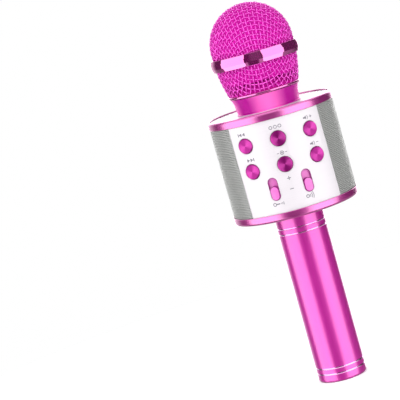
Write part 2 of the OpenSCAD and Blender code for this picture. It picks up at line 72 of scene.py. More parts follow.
# Levels and radii of the frame, in metres
RIM_R = high("top_rim").x
DRUM_BASE = low("bottom_rim").z
DRUM_TOP = high("top_rim").z
PANEL_R = RIM_R - 0.7 * MM
PANEL_Z0 = low("front_panel").z
PANEL_Z1 = high("front_panel").z
GRILLE_R = RIM_R - 1 * MM
PLATE_R = high("top_plate").x
MESH_R = high("grille_dome").x
DOME_Z = high("grille_dome").z - MESH_R
BAND_Z = (low("grille_band").z + high("grille_band").z) / 2
BAND_R = high("grille_band").x
BAND_H = high("grille_band").z - low("grille_band").z
LIP_Z = low("grille_lip").z
SKIRT_Z0 = low("grille_skirt").z
NECK_Z = high("top_plate").z
TUBE_R = high("handle_tube").x
TUBE_Z0 = low("handle_tube").z
TUBE_Z1 = high("handle_tube").z
CAP_R = high("end_cap").x


# ---- Settings ----


class MicrophoneHead(bpy.types.PropertyGroup):
    """The woven mesh and its band"""

    wire: bpy.props.FloatProperty(
        name="Wire", description="Diameter of the mesh's wire", default=0.8 * MM, unit="LENGTH"
    )
    pitch: bpy.props.FloatProperty(
        name="Pitch", description="Distance from wire to wire", default=3.1 * MM, unit="LENGTH"
    )
    wire_colour: bpy.props.StringProperty(
        name="Wire colour", description="sRGB hex of the plated wire", default="#EA40CA"
    )
    foam_colour: bpy.props.StringProperty(
        name="Foam colour", description="sRGB hex of the foam inside the mesh", default="#BA0690"
    )


class MicrophoneDrum(bpy.types.PropertyGroup):
    """The drum's sheets and trim"""

    panel_arc: bpy.props.FloatProperty(
        name="Panel arc", description="Angle that the control panel spans", default=math.radians(88),
        subtype="ANGLE",
    )
    hole_pitch: bpy.props.FloatProperty(
        name="Hole pitch", description="Distance between the grille's holes", default=1.25 * MM, unit="LENGTH"
    )
    plated_colour: bpy.props.StringProperty(
        name="Plating", description="sRGB hex of the plated trim", default="#C8149A"
    )
    panel_colour: bpy.props.StringProperty(
        name="Panel", description="sRGB hex of the silver panels", default="#CAC5CA"
    )
    sheet_colour: bpy.props.StringProperty(
        name="Grille", description="sRGB hex of the perforated sheet", default="#B2B3B1"
    )


class MicrophoneControls(bpy.types.PropertyGroup):
    """Buttons, sliders and printed signs"""

    button_d: bpy.props.FloatProperty(
        name="Button", description="Diameter of a push button", default=9.4 * MM, unit="LENGTH"
    )
    slider_spread: bpy.props.FloatProperty(
        name="Slider angle", description="Angle from the panel's middle to a slider",
        default=math.radians(15.2), subtype="ANGLE",
    )
    print_colour: bpy.props.StringProperty(
        name="Print", description="sRGB hex of the printed signs", default="#6A6870"
    )
    slider_colour: bpy.props.StringProperty(
        name="Slider", description="sRGB hex of the slider knobs", default="#D064B4"
    )


class MicrophoneHandle(bpy.types.PropertyGroup):
    """The tube and its cut rings"""

    anodised_colour: bpy.props.StringProperty(
        name="Anodising", description="sRGB hex of the dyed tube", default="#CC0EA0"
    )
    groove_depth: bpy.props.FloatProperty(
        name="Ring depth", description="Depth of the bright cut rings", default=0.35 * MM, unit="LENGTH"
    )


class MicrophoneStage(bpy.types.PropertyGroup):
    """Camera and light"""

    lens: bpy.props.FloatProperty(
        name="Lens", description="Focal length on a 36 mm sensor, in millimetres", default=153.0
    )
    roll: bpy.props.FloatProperty(
        name="Roll", description="Turn of the camera about its own axis",
        default=math.radians(-15.88), subtype="ANGLE",
    )


GROUPS = {
    "mic_head": MicrophoneHead,
    "mic_drum": MicrophoneDrum,
    "mic_controls": MicrophoneControls,
    "mic_handle": MicrophoneHandle,
    "mic_stage": MicrophoneStage,
}


# ---- Materials ----


def linear(text, alpha=1.0):
    """An sRGB hex colour as linear RGBA."""
    parts = [int(text[i : i + 2], 16) / 255 for i in (1, 3, 5)]
    return [c / 12.92 if c <= 0.04045 else ((c + 0.055) / 1.055) ** 2.4 for c in parts] + [alpha]


def add_node(tree, kind, links=None, **settings):
    """Adds a node, sets its fields and sockets, and links outputs into its inputs."""
    node = tree.nodes.new(kind)
    for name, value in settings.items():
        if hasattr(node, name):
            setattr(node, name, value)
        else:
            node.inputs[name.replace("_", " ")].default_value = value
    for name, source in (links or {}).items():
        tree.links.new(source, node.inputs[name])
    return node


def new_material(name):
    """A material, its tree and its shader, or only the material where it exists already."""
    material = bpy.data.materials.get(name)
    if material:
        return material, None, None
    material = bpy.data.materials.new(name)
    material.use_nodes = True
    tree = material.node_tree
    return material, tree, tree.nodes["Principled BSDF"]


def set_shader(shader, **values):
    """Sets a shader's own sockets, named with _ for a space."""
    for name, value in values.items():
        shader.inputs[name.replace("_", " ")].default_value = value


def grain(tree, scale_mm, stretch=(1, 1, 1), detail=3.0):
    """Noise on object coordinates whose grain is scale_mm wide before stretching."""
    place = add_node(tree, "ShaderNodeTexCoord")
    turned = add_node(tree, "ShaderNodeMapping", {"Vector": place.outputs["Object"]}, Scale=stretch)
    return add_node(
        tree, "ShaderNodeTexNoise", {"Vector": turned.outputs["Vector"]},
        Scale=1 / (scale_mm * MM), Detail=detail,
    )


def ranged(tree, source, lowest, highest):
    """Maps a 0..1 value to lowest..highest."""
    return add_node(tree, "ShaderNodeMapRange", {"Value": source}, To_Min=lowest, To_Max=highest).outputs[0]


def shaded(tree, source, dark, light, start=0.3, end=0.7):
    """Mixes two colours by a 0..1 value."""
    ramp = add_node(tree, "ShaderNodeValToRGB", {"Fac": source})
    ramp.color_ramp.elements[0].position = start
    ramp.color_ramp.elements[0].color = linear(dark)
    ramp.color_ramp.elements[1].position = end
    ramp.color_ramp.elements[1].color = linear(light)
    return ramp.outputs["Color"]


def bumped(tree, shader, source, strength, depth_mm):
    """Raises the surface by source, depth_mm high."""
    bump = add_node(
        tree, "ShaderNodeBump", {"Height": source}, Strength=strength, Distance=depth_mm * MM
    )
    tree.links.new(bump.outputs["Normal"], shader.inputs["Normal"])


def darker(text, share):
    """A hex colour with its sRGB values scaled."""
    parts = [min(255, round(int(text[i : i + 2], 16) * share)) for i in (1, 3, 5)]
    return "#%02X%02X%02X" % tuple(parts)


def anodised_aluminium():
    """Anodised aluminium, bead-blasted: a soft metallic sheen with a very fine, even grit."""
    colour = bpy.context.scene.mic_handle.anodised_colour
    material, tree, shader = new_material("anodised_aluminium")
    if tree:
        grit = grain(tree, 0.35).outputs["Fac"]
        drawn = grain(tree, 1.2, (1, 1, 0.04)).outputs["Fac"]
        tree.links.new(shaded(tree, drawn, darker(colour, 0.96), colour), shader.inputs["Base Color"])
        tree.links.new(ranged(tree, grit, 0.26, 0.34), shader.inputs["Roughness"])
        bumped(tree, shader, grit, 0.12, 0.02)
        set_shader(shader, Metallic=0.5, Coat_Weight=1.0, Coat_IOR=1.75, Coat_Roughness=0.25)
    return material


def diamond_cut():
    """Diamond-cut aluminium: bright turned facets where the tool went through the dyed skin."""
    material, tree, shader = new_material("diamond_cut_aluminium")
    if tree:
        turned = grain(tree, 0.25, (0.05, 0.05, 1)).outputs["Fac"]
        tree.links.new(shaded(tree, turned, "#F59BE2", "#FFD6F6"), shader.inputs["Base Color"])
        tree.links.new(ranged(tree, turned, 0.14, 0.22), shader.inputs["Roughness"])
        set_shader(shader, Metallic=1.0)
    return material


def plated_plastic(name="plated_abs", rough=0.3, metallic=0.8, colour=None, coat=1.0):
    """Electroplated ABS under a dyed lacquer: bright, with a faint orange peel and a clear top coat."""
    colour = colour or bpy.context.scene.mic_drum.plated_colour
    material, tree, shader = new_material(name)
    if tree:
        peel = grain(tree, 6, detail=1.0).outputs["Fac"]
        wear = grain(tree, 0.9).outputs["Fac"]
        tree.links.new(shaded(tree, peel, darker(colour, 0.97), colour), shader.inputs["Base Color"])
        tree.links.new(ranged(tree, wear, rough - 0.02, rough + 0.02), shader.inputs["Roughness"])
        bumped(tree, shader, peel, 0.05, 0.02)
        set_shader(shader, Metallic=metallic, Coat_Weight=coat, Coat_IOR=2.3, Coat_Roughness=rough * 0.8)
    return material


def mirror_plating():
    # The band and lip are buffed before plating, so they mirror the studio sharply
    return plated_plastic("mirror_plated_abs", 0.05, 0.88)


def flocked_lip():
    # A matt lining on the lip's wall, in the foam's colour, so that it doesn't shine through the mesh
    colour = darker(bpy.context.scene.mic_head.foam_colour, 1.1)
    return plain_finish(
        "nylon_flock", darker(colour, 0.7), colour, 0.4, 0.9, depth_mm=0.1, Specular_IOR_Level=0.15
    )


def candy_lacquer_painted_reflection():
    """Candy lacquer on plated ABS, with a painted reflection. Its colour is paler at four places round the
    neck and deep between them: painted reflection that stands in for a studio's reflections in the real,
    glossier coat."""
    material, tree, shader = new_material("candy_lacquer_painted_reflection")
    if tree:
        place = add_node(tree, "ShaderNodeTexCoord")
        axes = add_node(tree, "ShaderNodeSeparateXYZ", {"Vector": place.outputs["Object"]})
        around = add_node(
            tree, "ShaderNodeMath", {0: axes.outputs["X"], 1: axes.outputs["Y"]}, operation="ARCTAN2"
        )
        lobes = add_node(tree, "ShaderNodeMath", {0: around.outputs[0]}, operation="MULTIPLY")
        lobes.inputs[1].default_value = 4
        fan = add_node(tree, "ShaderNodeMath", {0: lobes.outputs[0]}, operation="COSINE")
        # The four pale lobes and the deep colour between them are painted reflection, set by the angle round
        # the neck
        depth = add_node(tree, "ShaderNodeMapRange", {"Value": fan.outputs[0]}, From_Min=-1, From_Max=1)
        peel = grain(tree, 6, detail=1.0).outputs["Fac"]
        lacquer = shaded(tree, depth.outputs[0], "#B0008E", "#FF70CC", 0.1, 1.0)
        tree.links.new(lacquer, shader.inputs["Base Color"])
        tree.links.new(ranged(tree, peel, 0.22, 0.28), shader.inputs["Roughness"])
        bumped(tree, shader, peel, 0.05, 0.02)
        set_shader(shader, Metallic=0.1, Specular_IOR_Level=0.25)
    return material


def plated_wire():
    """Steel wire, woven, pressed and plated: bright knuckles and darker crossings."""
    settings = bpy.context.scene.mic_head
    material, tree, shader = new_material("plated_wire")
    if tree:
        drawn = grain(tree, 0.8).outputs["Fac"]
        tree.links.new(
            shaded(tree, drawn, darker(settings.wire_colour, 0.86), settings.wire_colour),
            shader.inputs["Base Color"],
        )
        tree.links.new(ranged(tree, drawn, 0.3, 0.4), shader.inputs["Roughness"])
        bumped(tree, shader, drawn, 0.1, 0.02)
        set_shader(shader, Metallic=0.4, Coat_Weight=0.4, Coat_IOR=1.5, Coat_Roughness=0.25)
    return material


def dyed_foam():
    """Open-cell polyurethane foam: dull and pitted, with cells of about half a millimetre, and painted shade
    that darkens the colour in each pit.
    """
    colour = bpy.context.scene.mic_head.foam_colour
    material, tree, shader = new_material("dyed_foam")
    if tree:
        place = add_node(tree, "ShaderNodeTexCoord")
        cells = add_node(
            tree, "ShaderNodeTexVoronoi", {"Vector": place.outputs["Object"]}, Scale=1 / (0.6 * MM)
        ).outputs["Distance"]
        # Darker towards each cell's middle, where the bump is lowest: painted shade in the pits
        pit_painted_shade = shaded(tree, cells, darker(colour, 0.6), colour, 0.1, 0.6)
        tree.links.new(pit_painted_shade, shader.inputs["Base Color"])
        bumped(tree, shader, cells, 0.6, 0.3)
        set_shader(shader, Roughness=0.95, Specular_IOR_Level=0.15)
    return material


def satin_sheet():
    """Lacquered aluminium sheet, brushed across: near white, with a fine horizontal grain."""
    colour = bpy.context.scene.mic_drum.panel_colour
    material, tree, shader = new_material("satin_aluminium")
    if tree:
        brushed = grain(tree, 0.5, (0.04, 0.04, 1)).outputs["Fac"]
        tree.links.new(shaded(tree, brushed, darker(colour, 0.985), colour), shader.inputs["Base Color"])
        tree.links.new(ranged(tree, brushed, 0.34, 0.44), shader.inputs["Roughness"])
        bumped(tree, shader, brushed, 0.06, 0.02)
        set_shader(shader, Metallic=0.05, Coat_Weight=0.1, Coat_Roughness=0.3)
    return material


def punched_sheet():
    """Punched steel sheet, powder-coated silver: soft sheen, slightly uneven."""
    colour = bpy.context.scene.mic_drum.sheet_colour
    material, tree, shader = new_material("punched_steel")
    if tree:
        grit = grain(tree, 0.5).outputs["Fac"]
        tree.links.new(shaded(tree, grit, darker(colour, 0.94), colour), shader.inputs["Base Color"])
        tree.links.new(ranged(tree, grit, 0.32, 0.45), shader.inputs["Roughness"])
        bumped(tree, shader, grit, 0.15, 0.03)
        set_shader(shader, Metallic=0.3)
    return material


def spun_button():
    """Turned aluminium: rings 0.2 mm apart about the button's own centre fan the light out. The fans are
    partly painted highlights in the colour, light and dark lobes round the centre, because rings this fine
    don't show them at the size of a render."""
    material, tree, shader = new_material("spun_aluminium_painted_fans")
    if tree:
        own = add_node(tree, "ShaderNodeUVMap", uv_map="from_centre")
        radius = add_node(tree, "ShaderNodeVectorMath", {"Vector": own.outputs["UV"]}, operation="LENGTH")
        ring_turns = 2 * math.pi / 0.2
        phase = add_node(tree, "ShaderNodeMath", {0: radius.outputs["Value"]}, operation="MULTIPLY")
        phase.inputs[1].default_value = ring_turns
        wave = add_node(tree, "ShaderNodeMath", {0: phase.outputs[0]}, operation="SINE")
        bumped(tree, shader, ranged(tree, wave.outputs[0], 0.0, 1.0), 0.1, 0.004)
        # The two light and two dark fans in the colour are painted highlight, with a random scratch tone
        # mixed in
        spread = add_node(tree, "ShaderNodeUVMap", uv_map="turned")
        angle = add_node(tree, "ShaderNodeSeparateXYZ", {"Vector": spread.outputs["UV"]})
        lobes = add_node(tree, "ShaderNodeMath", {0: angle.outputs["X"]}, operation="MULTIPLY_ADD")
        lobes.inputs[1].default_value, lobes.inputs[2].default_value = 4 * math.pi, 0.9
        fan = add_node(tree, "ShaderNodeMath", {0: lobes.outputs[0]}, operation="SINE")
        scratch = grain(tree, 0.3).outputs["Fac"]
        uneven = add_node(tree, "ShaderNodeMath", {0: fan.outputs[0], 1: scratch}, operation="MULTIPLY_ADD")
        uneven.inputs[1].default_value = 0.4
        tree.links.new(scratch, uneven.inputs[2])
        fans = shaded(tree, uneven.outputs[0], "#880A6C", "#B83696", 0.2, 0.9)
        tree.links.new(fans, shader.inputs["Base Color"])
        around = add_node(tree, "ShaderNodeTangent", direction_type="UV_MAP", uv_map="turned")
        tree.links.new(around.outputs["Tangent"], shader.inputs["Tangent"])
        set_shader(shader, Metallic=0.65, Roughness=0.36, Anisotropic=0.9, Anisotropic_Rotation=0.25)
    return material


def slider_plastic():
    """Injection-moulded acetal, pink: a soft gloss with faint flow marks."""
    colour = bpy.context.scene.mic_controls.slider_colour
    material, tree, shader = new_material("moulded_acetal")
    if tree:
        flow = grain(tree, 2.5, detail=1.5).outputs["Fac"]
        tree.links.new(shaded(tree, flow, darker(colour, 0.97), colour), shader.inputs["Base Color"])
        tree.links.new(ranged(tree, flow, 0.28, 0.36), shader.inputs["Roughness"])
        set_shader(shader, Subsurface_Weight=0.1, Subsurface_Radius=(0.002, 0.001, 0.002), Coat_Weight=0.2)
    return material


def painted_gap_shade():
    # The slot's lining and the knob's rounded edge are a darker magenta: painted shade in the gap round the
    # knob
    return plain_finish("acetal_painted_gap_shade", "#7E1468", "#8E1A76", 2.5, 0.35)


def printed_ink():
    """Pad-printed ink, grey: flat and matt, thinner where the pad lifted."""
    colour = bpy.context.scene.mic_controls.print_colour
    material, tree, shader = new_material("pad_print_ink")
    if tree:
        film = grain(tree, 0.4).outputs["Fac"]
        tree.links.new(shaded(tree, film, colour, darker(colour, 1.12)), shader.inputs["Base Color"])
        set_shader(shader, Roughness=0.7)
    return material


def plain_finish(name, dark, light, grain_mm, rough, metallic=0.0, depth_mm=0.02, **more):
    """A finish with one grain: two close colours, a roughness range and a bump."""
    material, tree, shader = new_material(name)
    if tree:
        source = grain(tree, grain_mm).outputs["Fac"]
        tree.links.new(shaded(tree, source, dark, light), shader.inputs["Base Color"])
        tree.links.new(ranged(tree, source, rough - 0.05, rough + 0.05), shader.inputs["Roughness"])
        bumped(tree, shader, source, 0.25, depth_mm)
        set_shader(shader, Metallic=metallic, **more)
    return material


def black_abs():
    # Moulded ABS with a spark-eroded grain of about 0.4 mm
    return plain_finish("grained_abs", "#17161A", "#232227", 0.4, 0.5, depth_mm=0.05)


def soft_rubber():
    # Silicone rubber: dull, with a dusting of talc
    return plain_finish("silicone_rubber", "#1B1B1D", "#29292C", 0.7, 0.7)


def zinc_steel():
    # Zinc-plated steel: bright, with the spangle of the bath
    return plain_finish("zinc_plated_steel", "#B9BCC4", "#DDDFE4", 1.5, 0.3, metallic=1.0)


def board_lacquer():
    # Solder mask over copper on glass-epoxy board
    return plain_finish("solder_mask", "#123F29", "#1D5C3C", 0.8, 0.35, Coat_Weight=0.4)


def dark_iron():
    # Ferrite magnet and blackened iron
    return plain_finish("ferrite", "#19191B", "#2A2A2D", 0.5, 0.6, metallic=0.3)


def cone_paper():
    # Pressed paper pulp: matt and fibrous
    return plain_finish("paper_pulp", "#1E1E21", "#333338", 0.6, 0.85, depth_mm=0.08)


def scrim_cloth():
    # Acoustic cloth: black, loosely woven polyester
    return plain_finish("acoustic_cloth", "#0B0B0C", "#1D1D1F", 0.35, 0.9, depth_mm=0.1, Sheen_Weight=0.3)


def shrink_wrap():
    # Heat-shrunk PVC sleeve on the cell
    return plain_finish("shrink_wrap", "#1E5C9E", "#2A70B8", 3.0, 0.25, Coat_Weight=0.3)


def clear_acrylic():
    # Moulded acrylic light pipe, seen unlit
    return plain_finish("acrylic", "#C9DDEB", "#E4F1FA", 2.0, 0.12, Transmission_Weight=0.6)


def wire_sleeve():
    # PVC insulation on the leads
    return plain_finish("pvc_insulation", "#8E1220", "#B01C2C", 1.0, 0.4)


# ---- Mesh helpers ----


def finish_mesh(bm, name, materials, body, nodes=(), angle=35.0, fix_normals=True):
    """Turns a bmesh into a piece that rides on a body and takes a slot's finish."""
    if fix_normals:
        bmesh.ops.remove_doubles(bm, verts=bm.verts[:], dist=1e-7)
        bmesh.ops.recalc_face_normals(bm, faces=bm.faces[:])
    mesh = bpy.data.meshes.new(name)
    bm.to_mesh(mesh)
    bm.free()
    mesh.shade_smooth()
    mesh.set_sharp_from_angle(angle=math.radians(angle))
    for material in materials:
        mesh.materials.append(material)
    piece = bpy.data.objects.new(name, mesh)
    bpy.context.scene.collection.objects.link(piece)
    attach(piece, body)
    if nodes:
        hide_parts(*nodes)
    return piece


def lathe(bm, profile, steps, closed=True):
    """Spins a closed outline of (radius, height) points, in metres, about the Z axis."""
    verts = [bm.verts.new((r, 0, z)) for r, z in profile]
    pairs = zip(verts, verts[1:] + verts[:1]) if closed else zip(verts, verts[1:])
    edges = [bm.edges.new(pair) for pair in pairs]
    bmesh.ops.spin(
        bm, geom=verts + edges, cent=(0, 0, 0), axis=(0, 0, 1), angle=2 * math.pi, steps=steps, use_merge=True
    )
    bmesh.ops.remove_doubles(bm, verts=bm.verts[:], dist=1e-7)


def arc(centre, radius, start, end, steps=6):
    """Points of an arc in the profile plane, angles in degrees from the outward axis."""
    angles = [math.radians(start + (end - start) * i / steps) for i in range(steps + 1)]
    return [(centre[0] + radius * math.cos(a), centre[1] + radius * math.sin(a)) for a in angles]


def rounded(outline, radius, steps=4):
    """Rounds every corner of a closed (r, z) outline by radius, or less on a short side."""
    points = []
    count = len(outline)
    for i, corner in enumerate(outline):
        here = Vector(corner)
        before = Vector(outline[i - 1]) - here
        after = Vector(outline[(i + 1) % count]) - here
        reach = min(radius, before.length * 0.45, after.length * 0.45)
        first, last = here + before.normalized() * reach, here + after.normalized() * reach
        for k in range(steps + 1):
            t = k / steps
            points.append(tuple((1 - t) ** 2 * first + 2 * t * (1 - t) * here + t * t * last))
    return points


def wrap(bm, radius, azimuth, z):
    """Bends a flat layout round the drum: x runs along the arc, y up and z out of the surface."""
    for v in bm.verts:
        angle = azimuth + v.co.x / radius
        reach = radius + v.co.z
        v.co = Vector((reach * math.sin(angle), -reach * math.cos(angle), z + v.co.y))


def stand_on(azimuth, z, radius):
    """Matrix that stands a flat layout on the drum: its z points out, its y up."""
    return (
        Matrix.Rotation(azimuth, 4, "Z")
        @ Matrix.Translation((0, -radius, z))
        @ Matrix.Rotation(math.radians(90), 4, "X")
    )


def everything(bm):
    """All of a bmesh's geometry."""
    return bm.verts[:] + bm.edges[:] + bm.faces[:]


def corners(geom):
    """The vertices in a mixed list."""
    return [v for v in geom if isinstance(v, bmesh.types.BMVert)]


def cut_across(bm, axis, place, side=1, trim=False):
    """Cuts the flat layout across an axis, and drops what lies past the cut if trim is set."""
    point, normal = Vector((0, 0, 0)), Vector((0, 0, 0))
    point[axis], normal[axis] = place, side
    bmesh.ops.bisect_plane(
        bm, geom=everything(bm), plane_co=point, plane_no=normal, dist=1e-7, clear_outer=trim
    )


def slice_up(bm, width, pitch):
    """Cuts a flat sheet into strips, so that it bends smoothly."""
    count = math.ceil(width / pitch)
    for i in range(1, count):
        cut_across(bm, 0, -width / 2 + width * i / count)


def thickened(bm, height, faces=None):
    """Extrudes faces, or all of them, along Z, and returns the new geometry."""
    made = bmesh.ops.extrude_face_region(bm, geom=faces or bm.faces[:])["geom"]
    bmesh.ops.translate(bm, verts=corners(made), vec=(0, 0, height))
    return made


def loop_of(bm, points):
    """A closed loop of edges through flat points."""
    verts = [bm.verts.new((x, y, 0)) for x, y in points]
    return [bm.edges.new(pair) for pair in zip(verts, verts[1:] + verts[:1])]


def circle_points(x, y, radius, steps=48):
    return [
        (x + radius * math.cos(2 * math.pi * i / steps), y + radius * math.sin(2 * math.pi * i / steps))
        for i in range(steps)
    ]


def stadium_points(x, y, length, width, steps=16):
    """Outline of a bar with round ends, standing along y."""
    r, half = width / 2, (length - width) / 2
    top = [(x + r * math.cos(math.pi * i / steps), y + half + r * math.sin(math.pi * i / steps))
           for i in range(steps + 1)]
    return top + [(2 * x - px, 2 * y - py) for px, py in top]


# ---- Head ----


def wire_curve(name, radius):
    """A curve object whose splines become round wires."""
    curve = bpy.data.curves.new(name, "CURVE")
    curve.dimensions = "3D"
    curve.bevel_depth = radius
    curve.bevel_resolution = 1
    curve.use_fill_caps = True
    return curve


def weave(curve, reach, start, place, pitch, lift):
    """Adds plain-woven wires over the ring of cloth from start to reach. place(u, v, height) bends them."""
    step = pitch / 4
    count = int(reach / pitch)
    for across in (False, True):
        for k in range(-count, count + 1):
            line = k * pitch
            half = math.sqrt(max(reach**2 - line**2, 0))
            hole = math.sqrt(max(start**2 - line**2, 0))
            spans = [(-half, -hole), (hole, half)] if hole > 0 else [(-half, half)]
            for begin, end in spans:
                samples = max(2, round((end - begin) / step))
                spline = curve.splines.new("POLY")
                spline.points.add(samples)
                for i in range(samples + 1):
                    t = begin + (end - begin) * i / samples
                    rise = lift * math.cos(math.pi * t / pitch) * (-1) ** k * (-1 if across else 1)
                    point = place(t, line, rise) if across else place(line, t, rise)
                    spline.points[i].co = (*point, 1)


def wires_to_piece(curve, name, node):
    """Turns the wires into one mesh piece that stands for a node of the head."""
    holder = bpy.data.objects.new(name + "_wires", curve)
    bpy.context.scene.collection.objects.link(holder)
    graph = bpy.context.evaluated_depsgraph_get()
    mesh = bpy.data.meshes.new_from_object(holder.evaluated_get(graph))
    bpy.data.objects.remove(holder)
    bm = bmesh.new()
    bm.from_mesh(mesh)
    bpy.data.meshes.remove(mesh)
    return finish_mesh(bm, name, [plated_wire()], "head", [node], 60, fix_normals=False)


class MICROPHONE_OT_woven_dome(bpy.types.Operator):
    """Weave the wire dome, pressed from one round of cloth"""

    bl_idname = "microphone.woven_dome"
    bl_label = "Woven Dome"

    def execute(self, context):
        settings = context.scene.mic_head
        lift = settings.wire * 0.5
        middle = MESH_R - lift - settings.wire / 2
        quarter = middle * math.pi / 2

        def place(u, v, rise):
            reach, turn = math.hypot(u, v), math.atan2(v, u)
            r = middle + rise
            if reach > quarter:
                return r * math.cos(turn), r * math.sin(turn), DOME_Z - (reach - quarter)
            tilt = reach / middle
            flat = r * math.sin(tilt)
            return flat * math.cos(turn), flat * math.sin(turn), DOME_Z + r * math.cos(tilt)

        curve = wire_curve("dome_cloth", settings.wire / 2)
        weave(curve, quarter + DOME_Z - BAND_Z - 1.2 * MM, 0, place, settings.pitch, lift)
        wires_to_piece(curve, "woven_dome", "grille_dome")
        return {"FINISHED"}


def skirt_radius(z):
    """Outer radius of the skirt at a height: it closes in towards the lip."""
    return MESH_R - 3.6 * MM * (max(BAND_Z - z, 0) / (21.2 * MM)) ** 1.6


class MICROPHONE_OT_woven_skirt(bpy.types.Operator):
    """Weave the wire skirt, pressed as a bowl with its bottom cut out"""

    bl_idname = "microphone.woven_skirt"
    bl_label = "Woven Skirt"

    def execute(self, context):
        settings = context.scene.mic_head
        lift = settings.wire * 0.5
        inset = lift + settings.wire / 2
        bowl_start = skirt_radius(SKIRT_Z0) * 1.02
        height = BAND_Z - 1.2 * MM - SKIRT_Z0

        def place(u, v, rise):
            reach, turn = math.hypot(u, v), math.atan2(v, u)
            z = SKIRT_Z0 + min(max(reach - bowl_start, 0), height)
            r = skirt_radius(z) - inset + rise
            return r * math.cos(turn), r * math.sin(turn), z

        curve = wire_curve("skirt_cloth", settings.wire / 2)
        weave(curve, bowl_start + height, bowl_start, place, settings.pitch, lift)
        wires_to_piece(curve, "woven_skirt", "grille_skirt")
        return {"FINISHED"}


class MICROPHONE_OT_band(bpy.types.Operator):
    """Spin the plated band between the mesh halves and the lip under them"""

    bl_idname = "microphone.band"
    bl_label = "Band and Lip"

    def execute(self, context):
        half = BAND_H / 2
        fall, face = 0.6 * MM, 1.4 * MM
        seat = MESH_R + 0.15 * MM
        outline = [
            (seat, BAND_Z - half), (BAND_R - fall, BAND_Z - half), (BAND_R, BAND_Z - face),
            (BAND_R, BAND_Z + face), (BAND_R - fall, BAND_Z + half), (seat, BAND_Z + half),
            (seat, BAND_Z + 0.4 * MM), (MESH_R - 0.9 * MM, BAND_Z + 0.4 * MM),
            (MESH_R - 0.9 * MM, BAND_Z - 0.8 * MM), (seat, BAND_Z - 0.8 * MM),
        ]
        bm = bmesh.new()
        lathe(bm, rounded(outline, 0.12 * MM), steps=240)
        finish_mesh(bm, "mesh_band", [mirror_plating()], "head", ["grille_band"])

        box_high = high("grille_lip")
        outer, bore = box_high.x, 19.8 * MM
        top = box_high.z
        bead = arc((outer - 0.8 * MM, LIP_Z + 0.8 * MM), 0.8 * MM, -90, 90, 10)
        bm = bmesh.new()
        lathe(bm, [(bore, LIP_Z), *bead, (outer - 1.7 * MM, LIP_Z + 1.6 * MM),
                   (outer - 1.9 * MM, top), (bore, top)], steps=180)
        for face in bm.faces:
            if face.calc_center_median().xy.length < outer - 1.2 * MM:
                face.material_index = 1
        finish_mesh(
            bm, "lip_ring", [mirror_plating(), flocked_lip()], "head_carrier", ["grille_lip"]
        )
        return {"FINISHED"}


class MICROPHONE_OT_windscreen(bpy.types.Operator):
    """Spin the foam windscreen and pit its surface"""

    bl_idname = "microphone.windscreen"
    bl_label = "Foam Windscreen"

    def execute(self, context):
        gap, foam = 0.72 * MM, 4.9 * MM
        z0 = low("windscreen_foam").z
        side = [z0 + (BAND_Z - z0) * i / 8 for i in range(9)]
        outer = [(skirt_radius(z) - gap, z) for z in side]
        inner = [(skirt_radius(z) - gap - foam, z) for z in reversed(side)]
        outline = outer + arc((0, DOME_Z), MESH_R - gap, 2, 90, 20)
        outline += arc((0, DOME_Z), MESH_R - gap - foam, 90, 2, 20) + inner
        bm = bmesh.new()
        lathe(bm, outline, steps=96)
        piece = finish_mesh(
            bm, "windscreen", [dyed_foam()], "head", ["windscreen_foam"]
        )
        return {"FINISHED"}


# ---- Neck and drum ----


class MICROPHONE_OT_neck(bpy.types.Operator):
    """Spin the flared neck and cut its screw thread"""

    bl_idname = "microphone.neck"
    bl_label = "Neck"

    def execute(self, context):
        foot_r = 20.9 * MM
        foot_z = NECK_Z
        flare_z0, flare_z1 = foot_z + 0.9 * MM, high("neck_collar").z
        throat = 20.3 * MM
        flare = [
            (throat + 2.3 * MM * t * t, flare_z0 + (flare_z1 - flare_z0) * t)
            for t in (i / 24 for i in range(25))
        ]
        base_z = low("neck_collar").z
        outline = [
            (16.2 * MM, base_z), (17 * MM, base_z), (17 * MM, foot_z), (foot_r, foot_z),
            (foot_r, foot_z + 0.45 * MM), (foot_r - 0.5 * MM, foot_z + 0.8 * MM),
            (throat + 0.25 * MM, flare_z0),
            *flare, (16.2 * MM, flare_z1),
        ]
        bm = bmesh.new()
        lathe(bm, outline, steps=240)
        finish_mesh(bm, "neck", [candy_lacquer_painted_reflection()], BODY, ["neck_collar"], angle=40)

        # The thread is a ridge spun up a helix round the spigot
        bore, spigot = 14.8 * MM, high("neck_thread").x
        z0, z1 = low("neck_thread").z, high("neck_thread").z
        step_z = flare_z1
        pitch = 1.5 * MM
        root = spigot - 0.7 * MM
        bm = bmesh.new()
        lathe(bm, [(bore, z0), (16.1 * MM, z0), (16.1 * MM, step_z), (root, step_z),
                   (root, z1 - 0.4 * MM), (root - 0.4 * MM, z1), (bore, z1)], steps=120)
        ridge = [bm.verts.new(p) for p in (
            (root - 0.1 * MM, 0, step_z + 0.3 * MM), (spigot, 0, step_z + 0.85 * MM),
            (root - 0.1 * MM, 0, step_z + 1.4 * MM))]
        edges = [bm.edges.new((ridge[i], ridge[(i + 1) % 3])) for i in range(3)]
        turns, per_turn = 3, 72
        ends = bmesh.ops.spin(
            bm, geom=ridge + edges, cent=(0, 0, 0), axis=(0, 0, 1), dvec=(0, 0, pitch / per_turn),
            angle=2 * math.pi * turns, steps=turns * per_turn,
        )["geom_last"]
        bmesh.ops.contextual_create(bm, geom=edges)
        bmesh.ops.contextual_create(bm, geom=[e for e in ends if isinstance(e, bmesh.types.BMEdge)])
        finish_mesh(bm, "neck_screw_thread", [zinc_steel()], BODY, ["neck_thread"])
        return {"FINISHED"}


